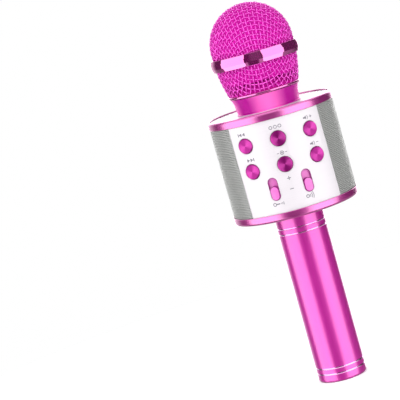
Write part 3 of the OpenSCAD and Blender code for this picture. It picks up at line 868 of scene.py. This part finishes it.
def rim_outline(fall_z, sign):
    """Section of a rim. fall_z is its outer edge's height and sign is 1 for the upper one."""
    seat = 2.2 * MM
    ledge, inner, skirt = RIM_R - 3.8 * MM, PLATE_R + 0.15 * MM, PANEL_R + 0.12 * MM
    deep, tall = 3.8 * MM, 5 * MM
    points = [(ledge, -deep), (skirt, -deep), (skirt, -tall), (RIM_R - 0.25 * MM, -tall)]
    points += [(RIM_R, -tall + 0.25 * MM)]
    points += arc((RIM_R - 2 * MM, -2 * MM), 2 * MM, 0, 90, 14)
    points += [(inner + 0.15 * MM, 0), (inner, -0.15 * MM), (inner, -seat), (ledge, -seat)]
    return [(r, fall_z + sign * z) for r, z in points]


class MICROPHONE_OT_rims(bpy.types.Operator):
    """Spin the two plated rims"""

    bl_idname = "microphone.rims"
    bl_label = "Rims"

    def execute(self, context):
        for name, node, z, sign in (
            ("upper_rim", "top_rim", DRUM_TOP, 1), ("lower_rim", "bottom_rim", DRUM_BASE, -1)
        ):
            bm = bmesh.new()
            lathe(bm, rim_outline(z, sign), steps=300)
            finish_mesh(bm, name, [plated_plastic()], BODY, [node], angle=40)
        return {"FINISHED"}


class MICROPHONE_OT_plates(bpy.types.Operator):
    """Spin the top plate"""

    bl_idname = "microphone.plates"
    bl_label = "End Plates"

    def execute(self, context):
        z0, z1 = low("top_plate").z, high("top_plate").z
        bm = bmesh.new()
        bore = 17.2 * MM
        lathe(bm, rounded([(bore, z0), (PLATE_R, z0), (PLATE_R, z1), (bore, z1)], 0.2 * MM), steps=240)
        finish_mesh(bm, "drum_top_plate", [satin_sheet()], BODY, ["top_plate"])
        return {"FINISHED"}


def curved_sheet(name, arc_angle, azimuth, cuts, node):
    """A panel bent round the drum, with holes where cuts gives outlines in the flat."""
    width, height = arc_angle * PANEL_R, PANEL_Z1 - PANEL_Z0
    corner = 0.5 * MM
    w, h = width / 2, height / 2
    outline = [(w - corner, h), (w, h - corner), (w, corner - h), (w - corner, -h),
               (corner - w, -h), (-w, corner - h), (-w, h - corner), (corner - w, h)]
    bm = bmesh.new()
    edges = loop_of(bm, outline)
    for cut in cuts:
        edges += loop_of(bm, cut)
    bmesh.ops.triangle_fill(bm, edges=edges, use_beauty=True, use_dissolve=False)
    slice_up(bm, width, 1.2 * MM)
    bmesh.ops.recalc_face_normals(bm, faces=bm.faces[:])
    if bm.faces[:][0].normal.z < 0:
        bmesh.ops.reverse_faces(bm, faces=bm.faces[:])
    thickened(bm, -PANEL_T)
    bmesh.ops.recalc_face_normals(bm, faces=bm.faces[:])
    lips = [
        e for e in bm.edges
        if len(e.link_faces) == 2 and e.calc_face_angle() > 1 and all(abs(v.co.z) < 1e-7 for v in e.verts)
    ]
    bmesh.ops.bevel(
        bm, geom=lips, offset=0.18 * MM, segments=2, profile=0.5, affect="EDGES", material=-1,
        clamp_overlap=True,
    )
    wrap(bm, PANEL_R, azimuth, PANEL_Z0 + h)
    finish_mesh(bm, name, [satin_sheet()], BODY, [node], angle=30)


def button_places():
    """(name, azimuth, height) of each push button, from the frame."""
    places = []
    for name in ("previous", "next", "scan", "record", "volume_up", "volume_down"):
        lowest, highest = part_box("button_" + name)
        middle = (lowest + highest) / 2
        places.append((name, math.atan2(middle.x, -middle.y), middle.z))
    return places


def slider_places():
    """(name, azimuth, resting knob height) of each slider."""
    spread = bpy.context.scene.mic_controls.slider_spread
    middle = {n: (low("slider_" + n).z + high("slider_" + n).z) / 2 for n in ("mic_volume", "echo")}
    return [("mic_volume", -spread, middle["mic_volume"]), ("echo", spread, middle["echo"])]


SLOT_L = 14.6 * MM
SLOT_W = 6.2 * MM
KNOB_L = 8.8 * MM
# A slot's middle lies this far above the resting knob's
SLOT_RISE = (SLOT_L - KNOB_L) / 2 - 0.3 * MM
PANEL_T = 1.2 * MM


class MICROPHONE_OT_panels(bpy.types.Operator):
    """Cut and bend the control panel and the rear panel"""

    bl_idname = "microphone.panels"
    bl_label = "Panels"

    def execute(self, context):
        settings = context.scene.mic_drum
        middle = (PANEL_Z0 + PANEL_Z1) / 2
        hole = context.scene.mic_controls.button_d / 2 + 0.3 * MM
        cuts = [circle_points(a * PANEL_R, z - middle, hole) for _, a, z in button_places()]
        cuts += [
            stadium_points(a * PANEL_R, z + SLOT_RISE - middle, SLOT_L, SLOT_W) for _, a, z in slider_places()
        ]
        for name, azimuth, holes, node in (
            ("control_panel", 0, cuts, "front_panel"), ("back_panel", math.pi, [], "rear_panel")
        ):
            curved_sheet(name, settings.panel_arc, azimuth, holes, node)
        return {"FINISHED"}


class MICROPHONE_OT_grilles(bpy.types.Operator):
    """Punch and bend the two side grilles"""

    bl_idname = "microphone.grilles"
    bl_label = "Side Grilles"

    def execute(self, context):
        settings = context.scene.mic_drum
        pitch = settings.hole_pitch
        width = (math.pi - settings.panel_arc - math.radians(0.8)) * GRILLE_R
        z0, z1 = low("left_grille").z, high("left_grille").z
        height = z1 - z0
        row = pitch * math.sqrt(3) / 2
        columns, rows = math.ceil(width / pitch) + 1, math.ceil(height / row) + 1

        bm = bmesh.new()
        corner = Matrix.Translation((-columns * pitch / 2, -rows * row / 2, 0))
        bmesh.ops.create_circle(
            bm, cap_ends=True, segments=6, radius=pitch / math.sqrt(3),
            matrix=corner @ Matrix.Rotation(math.pi / 6, 4, "Z"),
        )
        steps = [(i * pitch, 0, 0) for i in range(1, columns + 1)]
        rises = [(pitch / 2 * (j % 2), j * row, 0) for j in range(1, rows + 1)]
        for moves in (steps, rises):
            seed = everything(bm)
            for move in moves:
                copy = bmesh.ops.duplicate(bm, geom=seed)["geom"]
                bmesh.ops.translate(bm, verts=corners(copy), vec=move)
        bmesh.ops.remove_doubles(bm, verts=bm.verts[:], dist=pitch * 0.02)
        cells = bm.faces[:]
        bmesh.ops.inset_individual(bm, faces=cells, thickness=pitch * 0.17, use_even_offset=True)
        bmesh.ops.delete(bm, geom=cells, context="FACES_ONLY")
        for axis, half in ((0, width / 2), (1, height / 2)):
            for side in (-1, 1):
                cut_across(bm, axis, side * half, side, trim=True)
        bmesh.ops.recalc_face_normals(bm, faces=bm.faces[:])
        if sum(f.normal.z for f in bm.faces) < 0:
            bmesh.ops.reverse_faces(bm, faces=bm.faces[:])
        thickened(bm, -0.6 * MM)
        bmesh.ops.recalc_face_normals(bm, faces=bm.faces[:])
        flat = bpy.data.meshes.new("punched_flat")
        bm.to_mesh(flat)
        bm.free()
        for name, node, azimuth in (("left_punched_grille", "left_grille", -math.pi / 2),
                                    ("right_punched_grille", "right_grille", math.pi / 2)):
            bm = bmesh.new()
            bm.from_mesh(flat)
            wrap(bm, GRILLE_R, azimuth, (z0 + z1) / 2)
            finish_mesh(bm, name, [punched_sheet()], BODY, [node], fix_normals=False)
        bpy.data.meshes.remove(flat)
        return {"FINISHED"}


# ---- Controls ----


class MICROPHONE_OT_buttons(bpy.types.Operator):
    """Turn the six push buttons"""

    bl_idname = "microphone.buttons"
    bl_label = "Push Buttons"

    def execute(self, context):
        radius = context.scene.mic_controls.button_d / 2
        flange_r = radius + 1.1 * MM
        base_r = RIM_R - 4.05 * MM
        top = RIM_R + 0.15 * MM - base_r
        stem = 1.25 * MM
        for name, azimuth, z in button_places():
            dish_r, dish_top, dish_depth = radius - 0.55 * MM, top - 0.12 * MM, 0.22 * MM
            dish = [
                (dish_r - dish_r * i / 8, dish_top - dish_depth * math.sin(math.pi / 2 * i / 8))
                for i in range(9)
            ]
            outline = [
                (0, -stem), (0.9 * MM, -stem), (0.9 * MM, 0), (flange_r, 0), (flange_r, 0.7 * MM),
                (radius, 0.7 * MM), (radius, top - 0.45 * MM), (radius - 0.12 * MM, top - 0.15 * MM),
                (radius - 0.3 * MM, top), *dish,
            ]
            bm = bmesh.new()
            lathe(bm, outline, steps=96, closed=False)
            centre = bm.loops.layers.uv.new("from_centre")
            turned = bm.loops.layers.uv.new("turned")
            for face in bm.faces:
                middle = face.calc_center_median()
                about = math.atan2(middle.y, middle.x)
                for loop in face.loops:
                    co = loop.vert.co
                    loop[centre].uv = (co.x / MM, co.y / MM)
                    off = math.atan2(co.y, co.x) - about
                    off = (off + math.pi) % (2 * math.pi) - math.pi if co.xy.length > 1e-7 else 0
                    loop[turned].uv = ((about + off) / (2 * math.pi), co.xy.length / MM)
            bmesh.ops.transform(bm, matrix=stand_on(azimuth, z, base_r), verts=bm.verts[:])
            node = "button_" + name
            finish_mesh(bm, name + "_key", [spun_button()], node, [node])
        return {"FINISHED"}


class MICROPHONE_OT_sliders(bpy.types.Operator):
    """Mould the two slider knobs and their dust shutters"""

    bl_idname = "microphone.sliders"
    bl_label = "Sliders"

    def execute(self, context):
        shutter_r = RIM_R - 2.25 * MM
        for name, azimuth, z in slider_places():
            bm = bmesh.new()
            edges = loop_of(bm, stadium_points(0, 0, KNOB_L, SLOT_W - 0.7 * MM, 20))
            base = bmesh.ops.contextual_create(bm, geom=edges)["faces"]
            top = thickened(bm, RIM_R + 0.15 * MM - shutter_r + 0.4 * MM, base)
            lid = next(f for f in top if isinstance(f, bmesh.types.BMFace))
            bmesh.ops.bevel(
                bm, geom=list(lid.edges), offset=0.55 * MM, segments=5, profile=0.5, affect="EDGES",
                material=-1,
            )
            bmesh.ops.transform(bm, matrix=stand_on(azimuth, z, shutter_r - 0.4 * MM), verts=bm.verts[:])
            node = "slider_" + name
            # The knob's rounded edge and sides take the darker finish: painted shade round the knob's top
            outward = Vector((math.sin(azimuth), -math.cos(azimuth), 0))
            bm.normal_update()
            for face in bm.faces:
                if abs(face.normal.dot(outward)) < 0.97:
                    face.material_index = 1
            finish_mesh(bm, name + "_knob", [slider_plastic(), painted_gap_shade()], node, [node])

            # A thin lining in the slot's edge, in the darker finish: painted shadow in the gap round the knob
            bm = bmesh.new()
            lining = 0.23 * MM
            edges = loop_of(bm, stadium_points(0, 0, SLOT_L, SLOT_W))
            edges += loop_of(bm, stadium_points(0, 0, SLOT_L - 2 * lining, SLOT_W - 2 * lining))
            bmesh.ops.triangle_fill(bm, edges=edges)
            slice_up(bm, SLOT_W, 1 * MM)
            thickened(bm, -PANEL_T)
            wrap(bm, PANEL_R + 0.04 * MM, azimuth, z + SLOT_RISE)
            finish_mesh(bm, name + "_painted_gap_shade", [painted_gap_shade()], BODY)

            bm = bmesh.new()
            half_w, half_h = math.radians(6.4) * shutter_r, 10.6 * MM
            edges = loop_of(bm, [(half_w, half_h), (half_w, -half_h), (-half_w, -half_h), (-half_w, half_h)])
            bmesh.ops.triangle_fill(bm, edges=edges)
            slice_up(bm, 2 * half_w, 1 * MM)
            thickened(bm, -0.6 * MM)
            wrap(bm, shutter_r, azimuth, z)
            finish_mesh(bm, name + "_shutter", [slider_plastic()], node)
        return {"FINISHED"}


def sign_bar(bm, x, y, width, height):
    """A printed bar in the flat."""
    bmesh.ops.create_grid(
        bm, x_segments=1, y_segments=1, size=0.5,
        matrix=Matrix.Translation((x, y, 0)) @ Matrix.Diagonal((width, height, 1, 1)),
    )


def sign_triangle(bm, x, y, size, turn=0.0):
    """A printed triangle in the flat, pointing right before its turn."""
    bmesh.ops.create_circle(
        bm, cap_ends=True, segments=3, radius=size,
        matrix=Matrix.Translation((x, y, 0)) @ Matrix.Rotation(turn - math.pi / 2, 4, "Z"),
    )


def sign_ring(bm, x, y, radius, width, start=0.0, end=360.0):
    """A printed ring or part of one."""
    a = bm.verts.new((radius - width / 2, 0, 0))
    b = bm.verts.new((radius + width / 2, 0, 0))
    edge = bm.edges.new((a, b))
    turn = Matrix.Rotation(math.radians(start), 3, "Z")
    bmesh.ops.rotate(bm, verts=[a, b], matrix=turn)
    steps = max(6, round((end - start) / 15))
    full = end - start >= 360
    made = bmesh.ops.spin(
        bm, geom=[a, b, edge], axis=(0, 0, 1), angle=math.radians(end - start), steps=steps, use_merge=full
    )
    around = {v for e in made["geom_last"] if isinstance(e, bmesh.types.BMEdge) for v in e.verts} | {a, b}
    ring, front = set(), [v for v in around if v.is_valid]
    while front:
        v = front.pop()
        if v in ring:
            continue
        ring.add(v)
        front += [e.other_vert(v) for e in v.link_edges]
    bmesh.ops.translate(bm, verts=list(ring), vec=(x, y, 0))


def draw_previous(bm):
    sign_bar(bm, -2.6 * MM, 0, 0.5 * MM, 1.7 * MM)
    for x in (-1.2, 0.8):
        sign_triangle(bm, x * MM, 0, 1.1 * MM, math.pi)


def draw_next(bm):
    sign_bar(bm, 2.6 * MM, 0, 0.5 * MM, 1.7 * MM)
    for x in (1.2, -0.8):
        sign_triangle(bm, x * MM, 0, 1.1 * MM)


def draw_scan(bm):
    for x in (-2.4, 0, 2.4):
        sign_ring(bm, x * MM, 0, 0.8 * MM, 0.35 * MM)


def draw_record(bm):
    sign_ring(bm, 0, 0, 0.9 * MM, 0.35 * MM)
    bmesh.ops.create_circle(bm, cap_ends=True, segments=20, radius=0.42 * MM)
    for side in (-1, 1):
        sign_bar(bm, side * 2.2 * MM, 0, 1 * MM, 0.35 * MM)


def draw_volume(bm, plus):
    sign_bar(bm, -2.1 * MM, 0, 0.7 * MM, 0.8 * MM)
    sign_triangle(bm, -1.2 * MM, 0, 1.1 * MM, math.pi)
    sign_ring(bm, -1.2 * MM, 0, 1.5 * MM, 0.3 * MM, -40, 40)
    sign_bar(bm, 2.1 * MM, 0, 1.5 * MM, 0.35 * MM)
    if plus:
        sign_bar(bm, 2.1 * MM, 0.45 * MM, 0.35 * MM, 0.58 * MM)
        sign_bar(bm, 2.1 * MM, -0.45 * MM, 0.35 * MM, 0.58 * MM)


def draw_waves(bm):
    sign_ring(bm, -2 * MM, 0, 0.75 * MM, 0.4 * MM)
    for radius in (1.5, 2.4, 3.3):
        sign_ring(bm, -2 * MM, 0, radius * MM, 0.32 * MM, -32, 32)


def draw_capsule(bm):
    sign_ring(bm, -1.8 * MM, 0, 0.8 * MM, 0.4 * MM)
    sign_bar(bm, 0, 0, 2 * MM, 0.6 * MM)
    for x in (1.7, 2.4, 3.1):
        sign_bar(bm, x * MM, 0, 0.3 * MM, (x - 0.8) * 0.75 * MM)


class MICROPHONE_OT_signs(bpy.types.Operator):
    """Print the signs beside the buttons and sliders"""

    bl_idname = "microphone.signs"
    bl_label = "Printed Signs"

    def execute(self, context):
        drawn = bmesh.new()
        above = 7.3 * MM
        pictures = {
            "previous": draw_previous, "next": draw_next, "scan": draw_scan, "record": draw_record,
            "volume_up": lambda bm: draw_volume(bm, True), "volume_down": lambda bm: draw_volume(bm, False),
        }
        jobs = [(pictures[name], azimuth, z + above) for name, azimuth, z in button_places()]
        below = 9.8 * MM - (SLOT_L - KNOB_L) / 2
        for (name, azimuth, z), picture in zip(slider_places(), (draw_capsule, draw_waves)):
            jobs.append((picture, azimuth, z - below))
        middle = slider_places()[0][2] + (SLOT_L - KNOB_L) / 2
        jobs.append((lambda bm: sign_bar(bm, 0, 0, 2 * MM, 0.42 * MM), 0, middle - 2.6 * MM))
        jobs.append((lambda bm: (
            sign_bar(bm, 0, 0, 2 * MM, 0.42 * MM),
            sign_bar(bm, 0, 0.6 * MM, 0.42 * MM, 0.78 * MM),
            sign_bar(bm, 0, -0.6 * MM, 0.42 * MM, 0.78 * MM),
        ), 0, middle + 4.2 * MM))
        for picture, azimuth, z in jobs:
            bm = bmesh.new()
            picture(bm)
            bmesh.ops.scale(bm, vec=(1.18, 1.18, 1), verts=bm.verts[:])
            for face in bm.faces:
                if face.normal.z < 0:
                    face.normal_flip()
            thickened(bm, 0.07 * MM)
            bmesh.ops.recalc_face_normals(bm, faces=bm.faces[:])
            wrap(bm, PANEL_R - 0.02 * MM, azimuth, z)
            part = bpy.data.meshes.new("sign")
            bm.to_mesh(part)
            bm.free()
            drawn.from_mesh(part)
            bpy.data.meshes.remove(part)
        finish_mesh(drawn, "printed_signs", [printed_ink()], BODY, fix_normals=False)
        return {"FINISHED"}


# ---- Handle ----


class MICROPHONE_OT_handle(bpy.types.Operator):
    """Turn the tube with its cut rings, the collar and the end cap"""

    bl_idname = "microphone.handle"
    bl_label = "Handle"

    def execute(self, context):
        depth = context.scene.mic_handle.groove_depth
        inner = TUBE_R - 1.4 * MM
        cap_bore = TUBE_R - 0.55 * MM
        ring_at = [5.5 * MM, 9.3 * MM, TUBE_Z1 - 10.6 * MM, TUBE_Z1 - 6.9 * MM]
        half = 0.5 * MM
        corner = 1.2 * MM
        outline = [(cap_bore, TUBE_Z0)] + arc((TUBE_R - corner, TUBE_Z0 + corner), corner, -55, 0, 10)
        for z in ring_at:
            outline += [(TUBE_R, z - half), (TUBE_R - depth, z - 0.08 * MM), (TUBE_R - depth, z + 0.08 * MM),
                        (TUBE_R, z + half)]
        outline += [(TUBE_R, TUBE_Z1 - 0.4 * MM), (TUBE_R - 0.4 * MM, TUBE_Z1), (inner, TUBE_Z1),
                    (inner, 1.8 * MM), (cap_bore, 1.8 * MM)]
        bm = bmesh.new()
        lathe(bm, outline, steps=240)
        for face in bm.faces:
            middle = face.calc_center_median()
            if middle.xy.length > inner + 0.3 * MM and any(abs(middle.z - z) < half for z in ring_at):
                face.material_index = 1
        finish_mesh(
            bm, "tube", [anodised_aluminium(), diamond_cut()], BODY, ["handle_tube"], 25
        )

        top = low("bottom_plate").z
        fillet = [
            (17.2 * MM + 4.3 * MM * (1 - math.sin(a)), top - 0.6 * MM - 2.4 * MM * (1 - math.cos(a)))
            for a in (math.radians(d) for d in range(0, 91, 6))
        ]
        box_low, box_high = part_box("handle_collar")
        plug = inner - 0.1 * MM
        outline = [(10.5 * MM, box_high.z), (13.2 * MM, box_high.z), (13.2 * MM, top), (21.5 * MM, top),
                   *fillet, (17 * MM, TUBE_Z1 + 0.05 * MM), (plug, TUBE_Z1 + 0.05 * MM), (plug, box_low.z),
                   (10.5 * MM, box_low.z)]
        bm = bmesh.new()
        lathe(bm, outline, steps=240)
        finish_mesh(bm, "tube_collar", [anodised_aluminium()], BODY, ["handle_collar"], 35)

        flange, plug = 1.6 * MM, TUBE_R - 2.4 * MM
        outline = [(0, 0), (9.5 * MM, 0), (9.8 * MM, 0.25 * MM), (10.2 * MM, 0.25 * MM), (10.5 * MM, 0)]
        outline += arc((CAP_R - 0.5 * MM, 0.5 * MM), 0.5 * MM, -90, 0, 6)
        outline += [(CAP_R, flange), (plug - 0.8 * MM, flange), (plug - 0.8 * MM, flange + 1.6 * MM),
                    (plug, flange + 1.6 * MM), (plug, flange + 7.5 * MM), (plug - 0.5 * MM, flange + 8 * MM),
                    (plug - 1.8 * MM, flange + 8 * MM), (plug - 1.8 * MM, flange + 1 * MM),
                    (0, flange + 1 * MM)]
        bm = bmesh.new()
        lathe(bm, outline, steps=160, closed=False)
        finish_mesh(bm, "handle_end_cap", [black_abs()], "end_cap", ["end_cap"])
        return {"FINISHED"}


class MICROPHONE_OT_inner_parts(bpy.types.Operator):
    """Finish the pieces whose shape the frame already gives"""

    bl_idname = "microphone.inner_parts"
    bl_label = "Inner Parts"

    def execute(self, context):
        finish_of = {
            "silver_sheet": satin_sheet, "black_abs": black_abs, "rubber": soft_rubber,
            "zinc_plate": zinc_steel,
            "circuit_board": board_lacquer, "magnet_iron": dark_iron, "cone_paper": cone_paper,
            "scrim_cloth": scrim_cloth, "cell_can": shrink_wrap, "light_pipe": clear_acrylic,
            "wire_sleeve": wire_sleeve, "anodised_tube": anodised_aluminium, "plated_trim": plated_plastic,
            "woven_wire": plated_wire, "windscreen_foam": dyed_foam, "perforated_sheet": punched_sheet,
            "spun_button": spun_button, "slider_plastic": slider_plastic,
        }
        for part in frame["record"]["subparts"]:
            piece = frame["nodes"][part["node"]]
            if not piece.hide_render:
                piece.data.materials.clear()
                piece.data.materials.append(finish_of[part["material_slot"]]())
        return {"FINISHED"}


# ---- Stage ----


def softbox(name, azimuth, height, distance, size, power, target):
    """A soft rectangular light aimed at target, azimuth degrees from the front."""
    lamp = bpy.data.lights.new(name, "AREA")
    lamp.shape = "RECTANGLE"
    lamp.size, lamp.size_y = size
    lamp.energy = power
    light = bpy.data.objects.new(name, lamp)
    a = math.radians(azimuth)
    light.location = (distance * math.sin(a), -distance * math.cos(a), height)
    back = (light.location - Vector(target)).normalized()
    light.rotation_euler = back.to_track_quat("Z", "Y").to_euler()
    bpy.context.scene.collection.objects.link(light)
    return light


def ring_ramp(tree, turn, stops):
    """Grey level round the horizon: stops are (degrees right of the front, level), -180 to 180."""
    ramp = add_node(tree, "ShaderNodeValToRGB", {"Fac": turn})
    elements = ramp.color_ramp.elements
    places = [((angle + 180) / 360, level) for angle, level in stops]
    elements[0].position, elements[1].position = places[0][0], places[-1][0]
    for element, (_, level) in zip(elements, (places[0], places[-1])):
        element.color = (level, level, level, 1)
    for position, level in places[1:-1]:
        elements.new(position).color = (level, level, level, 1)
    return ramp.outputs["Color"]


def blended(tree, factor, first, second):
    """Mixes two colours by a factor."""
    mix = add_node(tree, "ShaderNodeMix", data_type="RGBA")
    tree.links.new(factor, mix.inputs[0])
    for index, source in ((6, first), (7, second)):
        if isinstance(source, float):
            mix.inputs[index].default_value = (source, source, source, 1)
        else:
            tree.links.new(source, mix.inputs[index])
    return mix.outputs[2]


def studio_world():
    """A pale studio: bright overhead, light in front and below, white behind, darker straight ahead."""
    world = bpy.data.worlds.new("studio")
    world.use_nodes = True
    tree = world.node_tree
    place = add_node(tree, "ShaderNodeTexCoord")
    turned = add_node(
        tree, "ShaderNodeVectorRotate", {"Vector": place.outputs["Generated"]}, rotation_type="Z_AXIS",
        Angle=math.radians(-7),
    )
    axes = add_node(tree, "ShaderNodeSeparateXYZ", {"Vector": turned.outputs[0]})
    ahead = add_node(tree, "ShaderNodeMath", {0: axes.outputs["Y"]}, operation="MULTIPLY")
    ahead.inputs[1].default_value = -1
    around = add_node(
        tree, "ShaderNodeMath", {0: axes.outputs["X"], 1: ahead.outputs[0]}, operation="ARCTAN2"
    )
    turn = add_node(
        tree, "ShaderNodeMapRange", {"Value": around.outputs[0]}, From_Min=-math.pi, From_Max=math.pi
    ).outputs[0]
    level = ring_ramp(tree, turn, [
        (-180, 1.0), (-150, 1.0), (-130, 0.05), (-80, 0.05), (-26, 0.03), (-16, 0.15), (6, 0.15), (12, 0.03),
        (80, 0.05), (130, 0.05), (150, 1.0), (180, 1.0)])
    under = ring_ramp(tree, turn, [
        (-180, 0.8), (-120, 0.2), (-70, 0.5), (-33, 0.7), (-28, 0.05), (-2, 0.05), (3, 0.7),
        (70, 0.5), (120, 0.2), (180, 0.8)])
    below = add_node(tree, "ShaderNodeMapRange", {"Value": axes.outputs["Z"]}, From_Min=-0.22, From_Max=-0.34)
    above = add_node(tree, "ShaderNodeMapRange", {"Value": axes.outputs["Z"]}, From_Min=0.5, From_Max=0.75)
    sides = blended(tree, below.outputs[0], level, under)
    sky = blended(tree, above.outputs[0], sides, 1.3)
    lit = tree.nodes["Background"]
    tree.links.new(sky, lit.inputs["Color"])
    plain = add_node(tree, "ShaderNodeBackground", Color=(1, 1, 1, 1), Strength=1.0)
    seen = add_node(tree, "ShaderNodeLightPath")
    both = add_node(tree, "ShaderNodeMixShader")
    tree.links.new(seen.outputs["Is Camera Ray"], both.inputs[0])
    tree.links.new(lit.outputs[0], both.inputs[1])
    tree.links.new(plain.outputs[0], both.inputs[2])
    tree.links.new(both.outputs[0], tree.nodes["World Output"].inputs["Surface"])
    bpy.context.scene.world = world


class MICROPHONE_OT_stage(bpy.types.Operator):
    """Set the camera, the studio light and the pale floor"""

    bl_idname = "microphone.stage"
    bl_label = "Stage"

    def execute(self, context):
        scene = context.scene
        settings = scene.mic_stage
        camera = bpy.data.objects.new("camera", bpy.data.cameras.new("camera"))
        camera.data.lens = settings.lens
        camera.data.sensor_width = 36
        camera.data.clip_end = 200
        spot, aim = Vector((-0.0072, -1.0724, 0.2685)), Vector((-0.058, 0, 0.1342))
        upright = (spot - aim).to_track_quat("Z", "Y").to_matrix().to_4x4()
        camera.matrix_world = Matrix.Translation(spot) @ upright @ Matrix.Rotation(settings.roll, 4, "Z")
        scene.collection.objects.link(camera)
        scene.camera = camera
        scene.view_settings.view_transform = "Standard"

        middle = (0, 0, 0.13)
        softbox("left_softbox", -64, 0.2, 1.4, (1.9, 2.4), 36, middle)
        softbox("right_softbox", 48, 0.2, 1.4, (1.6, 2.4), 30, middle)
        softbox("back_softbox", 175, 0.5, 1.8, (2.2, 2.2), 30, middle)
        fill = softbox("front_fill", -5, 0.9, 1.5, (0.8, 0.8), 6, middle)
        fill.visible_glossy = False
        studio_world()

        bm = bmesh.new()
        bmesh.ops.create_circle(bm, cap_ends=True, segments=96, radius=0.4)
        mesh = bpy.data.meshes.new("floor")
        bm.to_mesh(mesh)
        bm.free()
        floor = bpy.data.objects.new("floor", mesh)
        mesh.materials.append(plain_finish("floor_paper", "#FBFBFB", "#FFFFFF", 4.0, 0.9, depth_mm=0.01))
        scene.collection.objects.link(floor)
        floor.visible_glossy = False
        return {"FINISHED"}


# ---- Panel and registration ----

STEPS = (
    MICROPHONE_OT_stage,
    MICROPHONE_OT_woven_dome,
    MICROPHONE_OT_woven_skirt,
    MICROPHONE_OT_band,
    MICROPHONE_OT_windscreen,
    MICROPHONE_OT_neck,
    MICROPHONE_OT_rims,
    MICROPHONE_OT_plates,
    MICROPHONE_OT_panels,
    MICROPHONE_OT_grilles,
    MICROPHONE_OT_buttons,
    MICROPHONE_OT_sliders,
    MICROPHONE_OT_signs,
    MICROPHONE_OT_handle,
    MICROPHONE_OT_inner_parts,
)


class MICROPHONE_PT_sidebar(bpy.types.Panel):
    """Lists the microphone's pieces"""

    bl_idname = "MICROPHONE_PT_sidebar"
    bl_label = "Karaoke Microphone"
    bl_space_type = "VIEW_3D"
    bl_region_type = "UI"
    bl_category = "Microphone"

    def draw(self, context):
        for step in STEPS:
            self.layout.operator(step.bl_idname)


def register():
    for group in GROUPS.values():
        bpy.utils.register_class(group)
    for name, group in GROUPS.items():
        setattr(bpy.types.Scene, name, bpy.props.PointerProperty(type=group))
    for step in STEPS:
        bpy.utils.register_class(step)
    bpy.utils.register_class(MICROPHONE_PT_sidebar)


def unregister():
    bpy.utils.unregister_class(MICROPHONE_PT_sidebar)
    for step in reversed(STEPS):
        bpy.utils.unregister_class(step)
    for name in GROUPS:
        delattr(bpy.types.Scene, name)
    for group in GROUPS.values():
        bpy.utils.unregister_class(group)


def write_sizes():
    """Imports json and writes nothing."""
    import json


def main():
    register()
    for step in STEPS:
        group, name = step.bl_idname.split(".")
        getattr(getattr(bpy.ops, group), name)()
    write_sizes()


if __name__ == "__main__":
    main()
